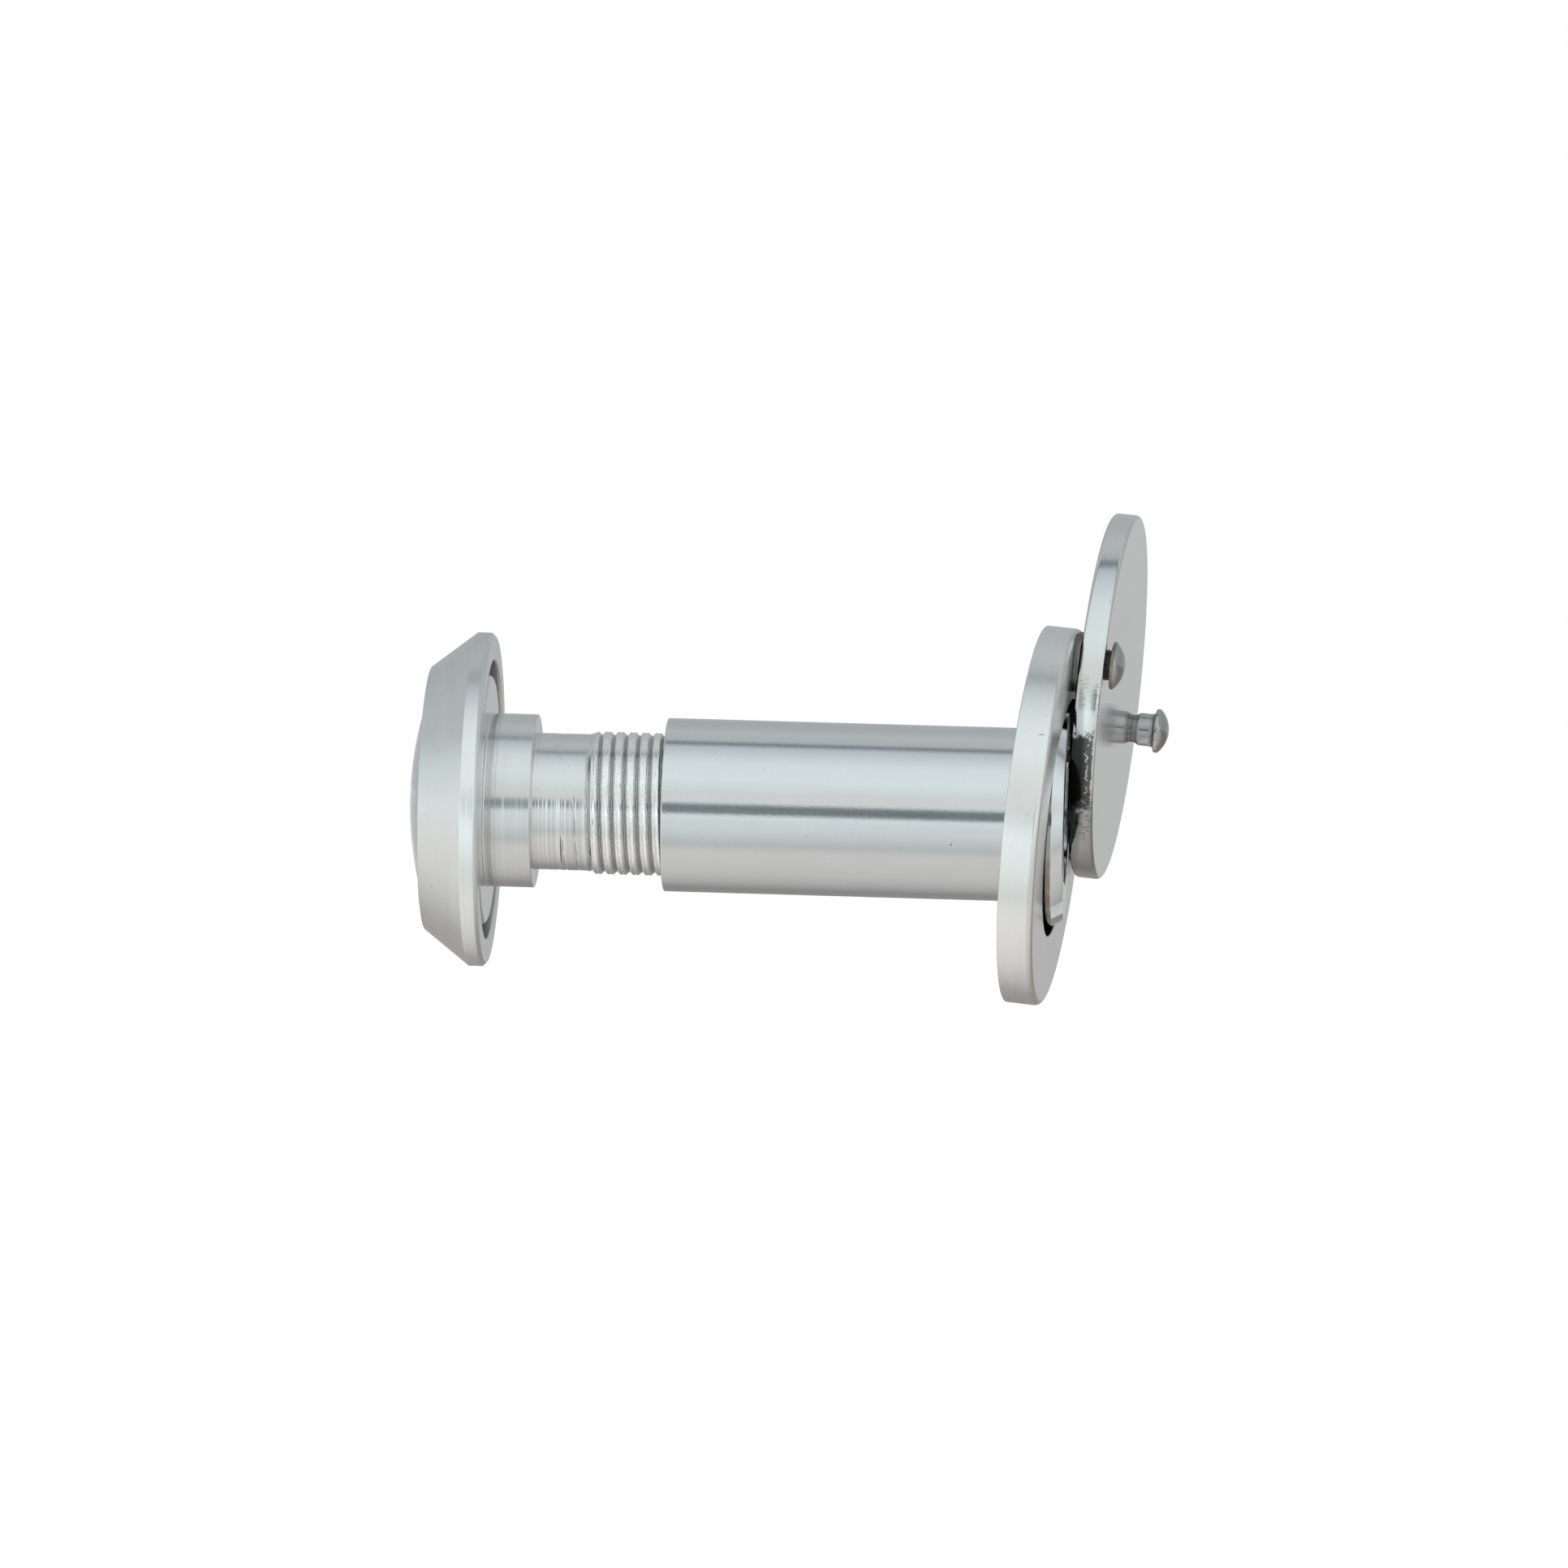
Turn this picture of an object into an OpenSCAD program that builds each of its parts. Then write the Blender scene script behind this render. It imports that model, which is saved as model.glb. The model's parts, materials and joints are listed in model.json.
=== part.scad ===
// Door viewer: an outer lens unit and an inner sleeve screw together through the door,
// and a rosette with a swivel cover sits under the head of the sleeve.
// The barrel lies along X: the outside of the door is at -X and the room at +X.
// The origin is on the barrel's axis, in the plane where the bezel meets the door.

/* [Bezel] */
// Diameter of the bezel's rim
bezel_d = 26.6; // [22:0.1:32]
// Width of the flat ring on the bezel's back
back_ring_w = 2.2; // [1.6:0.1:2.6]
// Width of the flat ring on the bezel's front
front_ring_w = 1.8; // [1.2:0.1:2.2]
// Height of the bezel's cone
cone_h = 3.6; // [3:0.1:4.6]
// Height of the straight rim behind the cone
rim_h = 1.35; // [0.8:0.05:2.5]
// Chamfer on the rim's back edge
rim_chamfer = 0.3; // [0.1:0.05:0.5]
// Width of the lip that holds the objective in
lip_w = 0.6; // [0.4:0.05:1]
// Thickness of the lip that holds the objective in
lip_t = 0.75; // [0.5:0.05:1]
// Depth of the recess in the bezel's back
recess_depth = 1.65; // [1.2:0.05:1.8]

/* [Objective] */
// How far the dome stands out of the bezel
dome_h = 1.4; // [0.8:0.1:2.2]
// Glass left at the middle of the objective
objective_core = 1; // [0.8:0.1:1.5]
// Width of the flat ring on the objective's back
objective_land_w = 2.7; // [2:0.1:3.5]
// Thickness of the gasket behind the objective
gasket_t = 0.3; // [0.2:0.05:0.6]
// Length of the spigot that presses the objective into the bezel
spigot_len = 1; // [0.6:0.1:1.4]
// Wall of the spigot at its end
spigot_wall = 1; // [0.6:0.1:1.4]

/* [Outer tube] */
// Room between the flange and the wall of its recess
flange_room = 1.1; // [0.6:0.1:1.4]
// Width of the flange's seat in the bezel
flange_seat_w = 0.7; // [0.4:0.1:0.9]
// Radius on the flange's back edge
flange_edge = 0.5; // [0.2:0.1:0.8]
// How far the flange lies below the bezel's back
flange_sink = 0.1; // [0.05:0.05:0.4]
// Diameter of the barrel that passes through the door
barrel_d = 13.8; // [12.4:0.1:14.4]
// Length of the shoulder on the outer tube
shoulder_len = 3.66; // [3:0.02:6]
// Length of the plain neck before the thread
neck_len = 4.84; // [3:0.02:8]
// Depth of the thread
thread_depth = 0.25; // [0.1:0.05:0.3]
// Pitch of the thread
thread_pitch = 1; // [0.75:0.25:1.5]
// Distance from the bezel's back to the end of the outer tube
tube_end = 29.5; // [27:0.5:30]
// Wall of the outer tube under the thread
tube_wall = 0.95; // [0.6:0.05:1.1]

/* [Inner lenses] */
// Width of the lip that stops the second lens
stop_w = 0.5; // [0.4:0.05:0.8]
// Thickness of the lip that stops the second lens
stop_t = 0.8; // [0.6:0.1:1.2]
// Edge thickness of the second lens
second_lens_t = 2.2; // [1.8:0.1:3]
// Depth of each hollow in the second lens
second_lens_dish = 0.7; // [0.4:0.1:0.8]
// Edge thickness of the third lens
third_lens_t = 1.2; // [1:0.1:2]
// Height of each dome on the third lens
third_lens_dome = 0.6; // [0.4:0.1:0.9]
// Wall of the spacer tube between the lenses
spacer_wall = 0.6; // [0.4:0.05:0.8]
// Wall of the ring that holds the lens stack
retaining_wall = 1.1; // [0.8:0.1:1.4]
// Thickness of the ring that holds the lens stack
retaining_t = 1.5; // [1.2:0.1:2]
// How far the ring that holds the lens stack lies inside the tube's end
retaining_sink = 0.6; // [0.4:0.1:1.5]

/* [Sleeve] */
// Place of the sleeve's free end, as photographed
sleeve_start = 14; // [13.8:0.1:16]
// Length of the sleeve under its head
sleeve_len = 30.45; // [28.5:0.05:37]
// Wall of the sleeve at its thread
sleeve_wall = 1.15; // [1:0.05:1.4]
// Length of the threaded bore at the sleeve's free end
nut_len = 9; // [6:0.5:10]
// Depth of the relief in the bore beyond the thread
relief_depth = 0.24; // [0.1:0.02:0.4]
// How far the sleeve's head stands out over the barrel
head_overhang = 1.85; // [1.5:0.05:2]
// Thickness of the sleeve's head
head_t = 1.45; // [1.3:0.05:1.6]
// Radius on the front edge of the sleeve's head
head_edge = 0.45; // [0.2:0.05:0.6]
// Width of the coin slots
coin_slot_w = 2; // [1.2:0.1:2.4]
// Depth of the coin slots
coin_slot_depth = 0.9; // [0.5:0.05:1]
// Clock angle of the coin slots, from straight down towards -Y
coin_slot_clock = 28; // [0:1:90]

/* [Eyepiece] */
// Wall of the sleeve beside the eyepiece
eyepiece_wall = 1.44; // [1.2:0.02:2]
// Edge thickness of the eyepiece lens
eyepiece_t = 1.3; // [1:0.1:1.6]
// Height of each dome on the eyepiece lens
eyepiece_dome = 0.7; // [0.4:0.1:0.9]
// Width of the lip that the eyepiece rests on
eyepiece_lip_w = 1.2; // [1:0.1:1.5]
// Thickness of the lip that the eyepiece rests on
eyepiece_lip_t = 1; // [0.7:0.1:1.2]
// Wall of the ring that holds the eyepiece
eye_ring_wall = 1.4; // [1.2:0.1:1.8]
// Thickness of the ring that holds the eyepiece
eye_ring_t = 1.4; // [1:0.1:1.6]
// How far the eye ring lies below the sleeve's head
eye_ring_sink = 0.5; // [0.2:0.1:0.8]

/* [Rosette] */
// Diameter of the rosette
rosette_d = 30.1; // [29.5:0.1:36.2]
// Thickness of the rosette under the sleeve's head
rosette_web = 0.7; // [0.6:0.05:1.2]
// Radius on the rosette's front edge
rosette_edge = 0.5; // [0.2:0.1:0.9]
// Room between the sleeve's head and the wall of its counterbore
counterbore_room = 0.75; // [0.6:0.05:0.9]
// How far the seated head lies below the rosette's face
head_sink = 0.65; // [0.65:0.05:0.8]
// Lean of the loose rosette on the sleeve, as photographed
rosette_lean = 6.5; // [0:0.5:6.5]
// Side that the rosette leans to, from straight up towards +Y
lean_clock = 44; // [40:1:60]

/* [Cover] */
// How far the cover's edge lies inside the rosette's edge
cover_inset = 0.35; // [0.2:0.05:1]
// Thickness of the cover
cover_t = 2; // [1.6:0.05:2.6]
// Radius on the cover's edges
cover_edge = 0.35; // [0.15:0.05:0.5]
// Gap between the cover and the rosette
cover_gap = 0.46; // [0.42:0.02:0.6]
// How far the cover is swung open, as photographed
cover_open = 71; // [68:1:100]
// Distance of the pivot from the rosette's edge
pivot_inset = 2.5; // [2.3:0.05:2.6]
// Clock angle of the pivot, from straight up towards +Y
pivot_clock = -7.6; // [-12:0.2:0]
// Diameter of the pivot rivet's shank
rivet_d = 2.4; // [2:0.1:2.6]
// Diameter of the pivot rivet's domed head
rivet_head_d = 3.8; // [3.4:0.1:4.6]
// Height of the pivot rivet's domed head
rivet_head_h = 1.05; // [0.7:0.05:1.4]
// Play under the pivot rivet's head
rivet_play = 0.4; // [0.1:0.05:0.6]
// Diameter of the pivot washer
washer_d = 4.8; // [4:0.1:5]

/* [Knob] */
// Distance of the knob from the cover's edge
knob_inset = 2.6; // [2:0.05:3]
// Diameter of the knob's stem
knob_d = 2.65; // [2.3:0.05:3]
// Diameter of the knob's head
knob_head_d = 3.55; // [3.2:0.05:4.2]
// Length of the knob
knob_len = 2.95; // [2.2:0.05:4]
// Height of the knob's head
knob_head_h = 1.1; // [0.8:0.05:1.4]
// Diameter of the rivet tail that holds the knob
knob_tail_d = 1.6; // [1.2:0.1:2]

/* [Fits] */
// Radial clearance of pieces that are pressed or dropped in
seat_clear = 0.03; // [0.02:0.01:0.05]
// Radial clearance of pieces that turn or slide in each other
run_clear = 0.06; // [0.03:0.01:0.09]
// Radial room around the sleeve in the rosette
rosette_room = 0.5; // [0.45:0.05:0.6]

/* [Hidden] */

$fn = 96;
cut = 0.5;                  // how far a cutter runs past the face that it cuts
arc_steps = 6;              // straight pieces in a quarter of a rounded edge

bezel_front_x = -(cone_h + rim_h);
recess_d = bezel_d - 2 * back_ring_w;
flange_d = recess_d - 2 * flange_room;
objective_d = flange_d - 2 * flange_seat_w;
window_d = objective_d - 2 * lip_w;
bezel_front_d = window_d + 2 * front_ring_w;
lip_x = bezel_front_x + lip_t;
spigot_x = -recess_depth - spigot_len;
mouth_d = objective_d - 2 * spigot_wall;
gasket_x = spigot_x - gasket_t;
flange_x = -flange_sink;

nut_bore_d = barrel_d - 2 * sleeve_wall;
relief_d = nut_bore_d + 2 * relief_depth;
thread_d = nut_bore_d - 2 * run_clear;
neck_d = thread_d - 2 * thread_depth;
tube_bore_d = neck_d - 2 * tube_wall;
thread_start = shoulder_len + neck_len;
crest_from = 0.3;           // where the flat crest starts, as a share of the pitch
crest_to = 0.7;             // where the flat crest ends, as a share of the pitch

stop_d = tube_bore_d - 2 * stop_w;
stop_inset = 0.2;           // keeps the stop inside the thick wall of the shoulder
stop_x = shoulder_len - stop_inset - stop_t;
second_x = stop_x + stop_t;
spacer_x = second_x + second_lens_t;
stack_end = tube_end - retaining_sink;
retaining_x = stack_end - retaining_t;
third_x = retaining_x - third_lens_t;
stack_d = tube_bore_d - 2 * seat_clear;
retaining_bore_d = stack_d - 2 * retaining_wall;

head_x = sleeve_start + sleeve_len;
head_d = barrel_d + 2 * head_overhang;
head_front_x = head_x + head_t;
eye_ring_x = head_front_x - eye_ring_sink - eye_ring_t;
eyepiece_x = eye_ring_x - eyepiece_t;
eyepiece_seat_x = eyepiece_x - eyepiece_lip_t;
eyepiece_bore_d = barrel_d - 2 * eyepiece_wall;
eyepiece_d = eyepiece_bore_d - 2 * run_clear;
eyepiece_lip_d = eyepiece_bore_d - 2 * eyepiece_lip_w;
eye_hole_d = eyepiece_d - 2 * eye_ring_wall;

head_gap = 0.05;            // left between the sleeve's head and the counterbore's floor
counterbore_d = head_d + 2 * counterbore_room;
counterbore_depth = head_t + head_sink;
rosette_t = counterbore_depth + rosette_web;
rosette_bore_d = barrel_d + 2 * rosette_room;
seated_front_x = head_x - head_gap + counterbore_depth;
lean_side = [0, sin(lean_clock), cos(lean_clock)];
lean_axis = [0, cos(lean_clock), -sin(lean_clock)];

pivot_radius = rosette_d / 2 - pivot_inset;
pivot_side = [0, sin(pivot_clock), cos(pivot_clock)];
rivet_hole_d = rivet_d + 2 * run_clear;
rivet_tail_h = 0.8;
rivet_head_rim = 0.25;      // straight edge under the dome of the rivet's head
rivet_flare = 0.6;          // how far the riveted tail spreads on each side
rivet_tail_d = rivet_d + 2 * rivet_flare;
tail_sink = 0.05;           // how far riveted tails lie below the back of their disc
washer_play = 0.02;         // air left beside the washer
washer_t = cover_gap - washer_play;
cover_d = rosette_d - 2 * cover_inset;
knob_radius = cover_d / 2 - knob_inset;
knob_neck_h = 0.3;
knob_head_rim = 0.3;        // straight edge under the dome of the knob's head
knob_neck_inset = 0.2;      // how far the knob's neck lies inside its stem
knob_neck_d = knob_d - 2 * knob_neck_inset;
knob_tail_h = 0.6;
knob_tail_head_d = knob_tail_d + 2 * knob_tail_h;

bright = "silver";
satin = "lightgray";
glass = [0.75, 0.85, 0.9, 0.5];

// Points of an arc, from one angle to another
function arc(centre, radius, from, to, steps = arc_steps) =
    [for (i = [0:steps]) let (a = from + (to - from) * i / steps) centre + radius * [cos(a), sin(a)]];

// A turned solid about X, from the points [radius, x] of its section
module turned(section) {
    rotate([0, 90, 0]) rotate_extrude() polygon(section);
}

// A rod or hole along X
module rod(d, from, to) {
    translate([from, 0, 0]) rotate([0, 90, 0]) cylinder(d = d, h = to - from);
}

// The radius of a dome of this height over this diameter
function dome_radius(d, h) = (d * d / 4 + h * h) / (2 * h);

// A ball whose surface crosses the axis at x, with its centre to the +X side or the -X side
module ball(d, h, x, side) {
    radius = dome_radius(d, h);
    translate([x + side * radius, 0, 0]) sphere(r = radius, $fn = 180);
}

// Points [radius, x] of a dome that swells from its rim at x towards side, from the rim to the crown
function dome_points(d, h, x, side) =
    let (radius = dome_radius(d, h))
    [for (i = [0:arc_steps]) let (r = d / 2 * (1 - i / arc_steps))
        [r, x + side * (h - radius + sqrt(radius * radius - r * r))]];

function reversed(points) = [for (i = [len(points) - 1:-1:0]) points[i]];

// A round lens with a flat land and a dome on both faces
module domed_lens(d, dome_d, dome_h, from, to) {
    turned(concat(
        reversed(dome_points(dome_d, dome_h, from, -1)),
        [[d / 2, from], [d / 2, to]],
        dome_points(dome_d, dome_h, to, 1)));
}

// Puts its children, drawn round the middle of the rosette's front face, on the leaning rosette
module on_rosette() {
    contact = lean_side * head_d / 2;
    translate([seated_front_x - counterbore_depth, 0, 0] + contact)
        rotate(a = rosette_lean, v = lean_axis)
            translate([counterbore_depth, 0, 0] - contact)
                children();
}

// Puts its children, drawn round the middle of the cover's back face, on the swung cover
module on_cover() {
    pivot = pivot_side * pivot_radius;
    on_rosette()
        translate([cover_gap, 0, 0] + pivot)
            rotate([cover_open, 0, 0])
                translate(-pivot)
                    children();
}

module bezel_ring() {
    color(bright) turned([
        [window_d / 2, bezel_front_x], [bezel_front_d / 2, bezel_front_x],
        [bezel_d / 2, -rim_h], [bezel_d / 2, -rim_chamfer],
        [bezel_d / 2 - rim_chamfer, 0], [recess_d / 2, 0],
        [recess_d / 2, -recess_depth], [objective_d / 2, -recess_depth],
        [objective_d / 2, lip_x], [window_d / 2, lip_x]]);
}

module objective_lens() {
    dome_d = window_d - 2 * seat_clear;
    crown_x = bezel_front_x - dome_h;
    hollow_h = gasket_x - crown_x - objective_core;
    color(glass) difference() {
        union() {
            rod(objective_d - 2 * seat_clear, lip_x, gasket_x);
            intersection() {
                rod(dome_d, crown_x, gasket_x);
                ball(dome_d, dome_h, crown_x, 1);
            }
        }
        ball(objective_d - 2 * objective_land_w, hollow_h, crown_x + objective_core, 1);
    }
}

module lens_gasket() {
    color("dimgray") difference() {
        rod(objective_d - 2 * seat_clear, gasket_x, spigot_x);
        rod(mouth_d, gasket_x - cut, spigot_x + cut);
    }
}

// Thread ridges as separate rings: a plain stand-in that keeps the thread's sizes
function thread_points() =
    let (ridges = floor((tube_end - thread_start) / thread_pitch))
    [for (i = [0:ridges - 1]) let (x = thread_start + i * thread_pitch)
        each [[neck_d / 2, x], [thread_d / 2, x + crest_from * thread_pitch],
              [thread_d / 2, x + crest_to * thread_pitch]]];

module outer_tube() {
    flange_r = flange_d / 2;
    spigot_r = objective_d / 2 - seat_clear;
    color(satin) turned(concat(
        [[mouth_d / 2, spigot_x], [spigot_r, spigot_x], [spigot_r, -recess_depth],
         [flange_r, -recess_depth]],
        arc([flange_r - flange_edge, flange_x - flange_edge], flange_edge, 0, 90),
        [[barrel_d / 2, flange_x], [barrel_d / 2, shoulder_len], [neck_d / 2, shoulder_len]],
        thread_points(),
        [[neck_d / 2, tube_end], [tube_bore_d / 2, tube_end], [tube_bore_d / 2, second_x],
         [stop_d / 2, second_x], [stop_d / 2, stop_x]]));
}

module second_lens() {
    color(glass) difference() {
        rod(stack_d, second_x, spacer_x);
        ball(stop_d, second_lens_dish, second_x + second_lens_dish, -1);
        ball(stop_d, second_lens_dish, spacer_x - second_lens_dish, 1);
    }
}

module lens_spacer() {
    color("dimgray") difference() {
        rod(stack_d, spacer_x, third_x);
        rod(stack_d - 2 * spacer_wall, spacer_x - cut, third_x + cut);
    }
}

module third_lens() {
    dome_d = retaining_bore_d - 2 * seat_clear;
    color(glass) domed_lens(stack_d, dome_d, third_lens_dome, third_x, retaining_x);
}

module lens_retaining_ring() {
    slot_w = 1;
    slot_depth = 0.6;
    color(satin) difference() {
        rod(stack_d, retaining_x, stack_end);
        rod(retaining_bore_d, retaining_x - cut, stack_end + cut);
        translate([stack_end - slot_depth, -stack_d / 2 - cut, -slot_w / 2])
            cube([slot_depth + cut, stack_d + 2 * cut, slot_w]);
    }
}

module sleeve() {
    head_r = head_d / 2;
    color(bright) difference() {
        turned(concat(
            [[nut_bore_d / 2, sleeve_start], [barrel_d / 2, sleeve_start],
             [barrel_d / 2, head_x], [head_r, head_x]],
            arc([head_r - head_edge, head_front_x - head_edge], head_edge, 0, 90),
            [[eyepiece_bore_d / 2, head_front_x], [eyepiece_bore_d / 2, eyepiece_x],
             [eyepiece_lip_d / 2, eyepiece_x], [eyepiece_lip_d / 2, eyepiece_seat_x],
             [relief_d / 2, eyepiece_seat_x], [relief_d / 2, sleeve_start + nut_len],
             [nut_bore_d / 2, sleeve_start + nut_len]]));
        rotate([-coin_slot_clock, 0, 0])
            translate([head_front_x - coin_slot_depth, -coin_slot_w / 2, -head_r - cut])
                cube([coin_slot_depth + cut, coin_slot_w, 2 * (head_r + cut)]);
    }
}

module eyepiece_lens() {
    dome_d = eye_hole_d - 2 * seat_clear;
    color(glass) domed_lens(eyepiece_d, dome_d, eyepiece_dome, eyepiece_x, eye_ring_x);
}

module eyepiece_ring() {
    outer_r = eyepiece_d / 2;
    funnel = 0.6;
    end = eye_ring_x + eye_ring_t;
    color("dimgray") turned([
        [eye_hole_d / 2, eye_ring_x], [outer_r, eye_ring_x], [outer_r, end],
        [eye_hole_d / 2 + funnel, end], [eye_hole_d / 2, end - funnel]]);
}

module rosette() {
    edge = rosette_edge;
    rosette_r = rosette_d / 2;
    color(bright) on_rosette() difference() {
        turned(concat(
            [[rosette_bore_d / 2, -rosette_t], [rosette_r, -rosette_t]],
            arc([rosette_r - edge, -edge], edge, 0, 90),
            [[counterbore_d / 2, 0], [counterbore_d / 2, -counterbore_depth],
             [rosette_bore_d / 2, -counterbore_depth]]));
        translate(pivot_side * pivot_radius) {
            rod(rivet_hole_d, -rosette_t - cut, cut);
            turned([
                [0, -rosette_t - cut], [rivet_tail_d / 2 + run_clear, -rosette_t - cut],
                [rivet_tail_d / 2 + run_clear, -rosette_t + tail_sink],
                [rivet_hole_d / 2, -rosette_t + rivet_tail_h], [0, -rosette_t + rivet_tail_h]]);
        }
    }
}

module pivot_washer() {
    color(satin) on_rosette() translate(pivot_side * pivot_radius) difference() {
        rod(washer_d, 0, washer_t);
        rod(rivet_hole_d, -cut, washer_t + cut);
    }
}

module pivot_rivet() {
    head_start = cover_gap + cover_t + rivet_play;
    back = -rosette_t + tail_sink;
    color(bright) on_rosette() translate(pivot_side * pivot_radius) turned(concat(
        [[0, back], [rivet_tail_d / 2, back], [rivet_d / 2, back + rivet_tail_h - tail_sink],
         [rivet_d / 2, head_start], [rivet_head_d / 2, head_start]],
        dome_points(rivet_head_d, rivet_head_h - rivet_head_rim, head_start + rivet_head_rim, 1)));
}

module cover() {
    edge = cover_edge;
    cover_r = cover_d / 2;
    color(bright) on_cover() difference() {
        turned(concat(
            [[0, 0]],
            arc([cover_r - edge, edge], edge, -90, 0),
            arc([cover_r - edge, cover_t - edge], edge, 0, 90),
            [[0, cover_t]]));
        translate(pivot_side * pivot_radius) rod(rivet_hole_d, -cut, cover_t + cut);
        translate(-pivot_side * knob_radius) {
            rod(knob_tail_d + 2 * seat_clear, -cut, cover_t + cut);
            turned([
                [0, -cut], [knob_tail_head_d / 2 + seat_clear, -cut],
                [knob_tail_head_d / 2 + seat_clear, 0],
                [knob_tail_d / 2 + seat_clear, knob_tail_h], [0, knob_tail_h]]);
        }
    }
}

module cover_knob() {
    head_start = cover_t + knob_len - knob_head_h;
    color(bright) on_cover() translate(-pivot_side * knob_radius) turned(concat(
        [[0, tail_sink], [knob_tail_head_d / 2 - tail_sink, tail_sink], [knob_tail_d / 2, knob_tail_h],
         [knob_tail_d / 2, cover_t], [knob_neck_d / 2, cover_t],
         [knob_neck_d / 2, cover_t + knob_neck_h], [knob_d / 2, cover_t + 2 * knob_neck_h],
         [knob_d / 2, head_start]],
        dome_points(knob_head_d, knob_head_h - knob_head_rim, head_start + knob_head_rim, 1)));
}

bezel_ring();
objective_lens();
lens_gasket();
outer_tube();
second_lens();
lens_spacer();
third_lens();
lens_retaining_ring();
sleeve();
eyepiece_lens();
eyepiece_ring();
rosette();
pivot_washer();
pivot_rivet();
cover();
cover_knob();
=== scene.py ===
"""A door viewer in turned and plated metal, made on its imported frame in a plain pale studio."""

import json
import math

import bmesh
import bpy
import numpy as np
from bpy.props import FloatProperty, FloatVectorProperty, PointerProperty
from mathutils import Matrix, Vector
from mathutils.bvhtree import BVHTree

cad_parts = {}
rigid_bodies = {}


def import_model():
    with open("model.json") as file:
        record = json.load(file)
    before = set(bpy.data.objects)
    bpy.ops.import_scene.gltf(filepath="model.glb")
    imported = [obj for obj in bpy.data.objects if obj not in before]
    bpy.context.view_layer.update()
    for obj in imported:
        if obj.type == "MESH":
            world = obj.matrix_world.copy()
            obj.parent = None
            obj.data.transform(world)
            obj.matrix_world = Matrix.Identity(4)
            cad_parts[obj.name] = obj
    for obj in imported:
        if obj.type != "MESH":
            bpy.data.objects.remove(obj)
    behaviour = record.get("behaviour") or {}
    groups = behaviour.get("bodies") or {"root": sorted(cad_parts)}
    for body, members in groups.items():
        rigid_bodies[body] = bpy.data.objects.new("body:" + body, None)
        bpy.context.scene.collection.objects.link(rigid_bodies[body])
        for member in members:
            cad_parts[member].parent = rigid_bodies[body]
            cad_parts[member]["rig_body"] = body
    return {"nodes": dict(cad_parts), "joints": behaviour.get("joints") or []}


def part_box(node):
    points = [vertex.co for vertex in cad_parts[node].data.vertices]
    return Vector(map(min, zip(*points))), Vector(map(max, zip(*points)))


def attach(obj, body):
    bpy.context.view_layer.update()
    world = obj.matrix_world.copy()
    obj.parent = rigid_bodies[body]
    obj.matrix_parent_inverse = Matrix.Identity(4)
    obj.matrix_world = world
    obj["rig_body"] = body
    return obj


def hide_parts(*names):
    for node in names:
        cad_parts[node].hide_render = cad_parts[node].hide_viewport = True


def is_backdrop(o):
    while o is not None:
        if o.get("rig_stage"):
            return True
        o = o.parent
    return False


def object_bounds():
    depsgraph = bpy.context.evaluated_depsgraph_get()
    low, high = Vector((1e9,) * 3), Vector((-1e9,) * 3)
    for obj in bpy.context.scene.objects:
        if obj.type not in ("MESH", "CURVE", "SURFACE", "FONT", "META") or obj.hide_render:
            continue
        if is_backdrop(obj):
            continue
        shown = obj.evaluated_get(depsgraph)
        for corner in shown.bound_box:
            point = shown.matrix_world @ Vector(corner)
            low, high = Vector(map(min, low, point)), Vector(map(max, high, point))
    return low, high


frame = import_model()
CAD_BOX = [list(corner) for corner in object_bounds()]

bl_info = {
    "name": "Door viewer",
    "version": (1, 0, 0),
    "blender": (4, 5, 0),
    "location": "View3D > Sidebar > Door viewer",
    "description": "A door viewer with a screwed sleeve, a rosette and a swivel cover",
    "category": "Object",
}

MM = 0.001
TURN = 2 * math.pi

# Points of the photograph, in its frame scaled to 1568 by 1568.
# An edge of the whole object has only the one number that it settles.
PHOTO_W = 1568
PHOTO_H = 1568
IMAGE_POINTS = {
    "left": (410.1, None),
    "right": (1169.0, None),
    "top": (None, 513.4),
    "bottom": (None, 1005.2),
    "bezel_top": (495.3, 636.1),
    "shoulder_top": (537.8, 714.3),
    "sleeve_start_top": (670.2, 718.0),
    "rivet": (1117.0, 665.8),
    "knob_head": (1160.7, 731.0),
    "cover_bottom": (1096.7, 879.1),
    "rosette_bottom": (1007.0, 1002.1),
    "neck_scratch": (560.8, 852.2),
    "rosette_scratch": (1041.3, 734.5),
    "sleeve_nick": (951.2, 844.9),
    "cover_painted_reflection": (1082.7, 771.0),
}

# The camera, settled by the image points: a long lens, a little to the right of square on.
CAMERA_YAW = math.radians(3.327)
CAMERA_ELEVATION = math.radians(0.283)
CAMERA_ROLL = math.radians(1.619)
CAMERA_DISTANCE = 0.9223
CAMERA_LENS = 266.16
CAMERA_SENSOR = 36.0
CAMERA_AIM = Vector((0.023, 0.0, 0.0))
CAMERA_AIM_RIGHT = 0.000390
CAMERA_AIM_UP = 0.001896
PIXELS_PER_SLOPE = max(PHOTO_W, PHOTO_H) * CAMERA_LENS / CAMERA_SENSOR

# How the rosette and the cover lie on the sleeve at rest, as in the CAD.
LEAN = math.radians(6.5)
LEAN_CLOCK = math.radians(44)
PIVOT_CLOCK = math.radians(-7.6)
COVER_OPEN = math.radians(71)
COUNTERBORE_DEPTH = 2.1 * MM
PIVOT_RADIUS = 12.55 * MM
KNOB_RADIUS = 12.1 * MM
COVER_GAP = 0.46 * MM
COVER_RADIUS = 14.7 * MM
COIN_SLOT_CLOCK = math.radians(-28)
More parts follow.
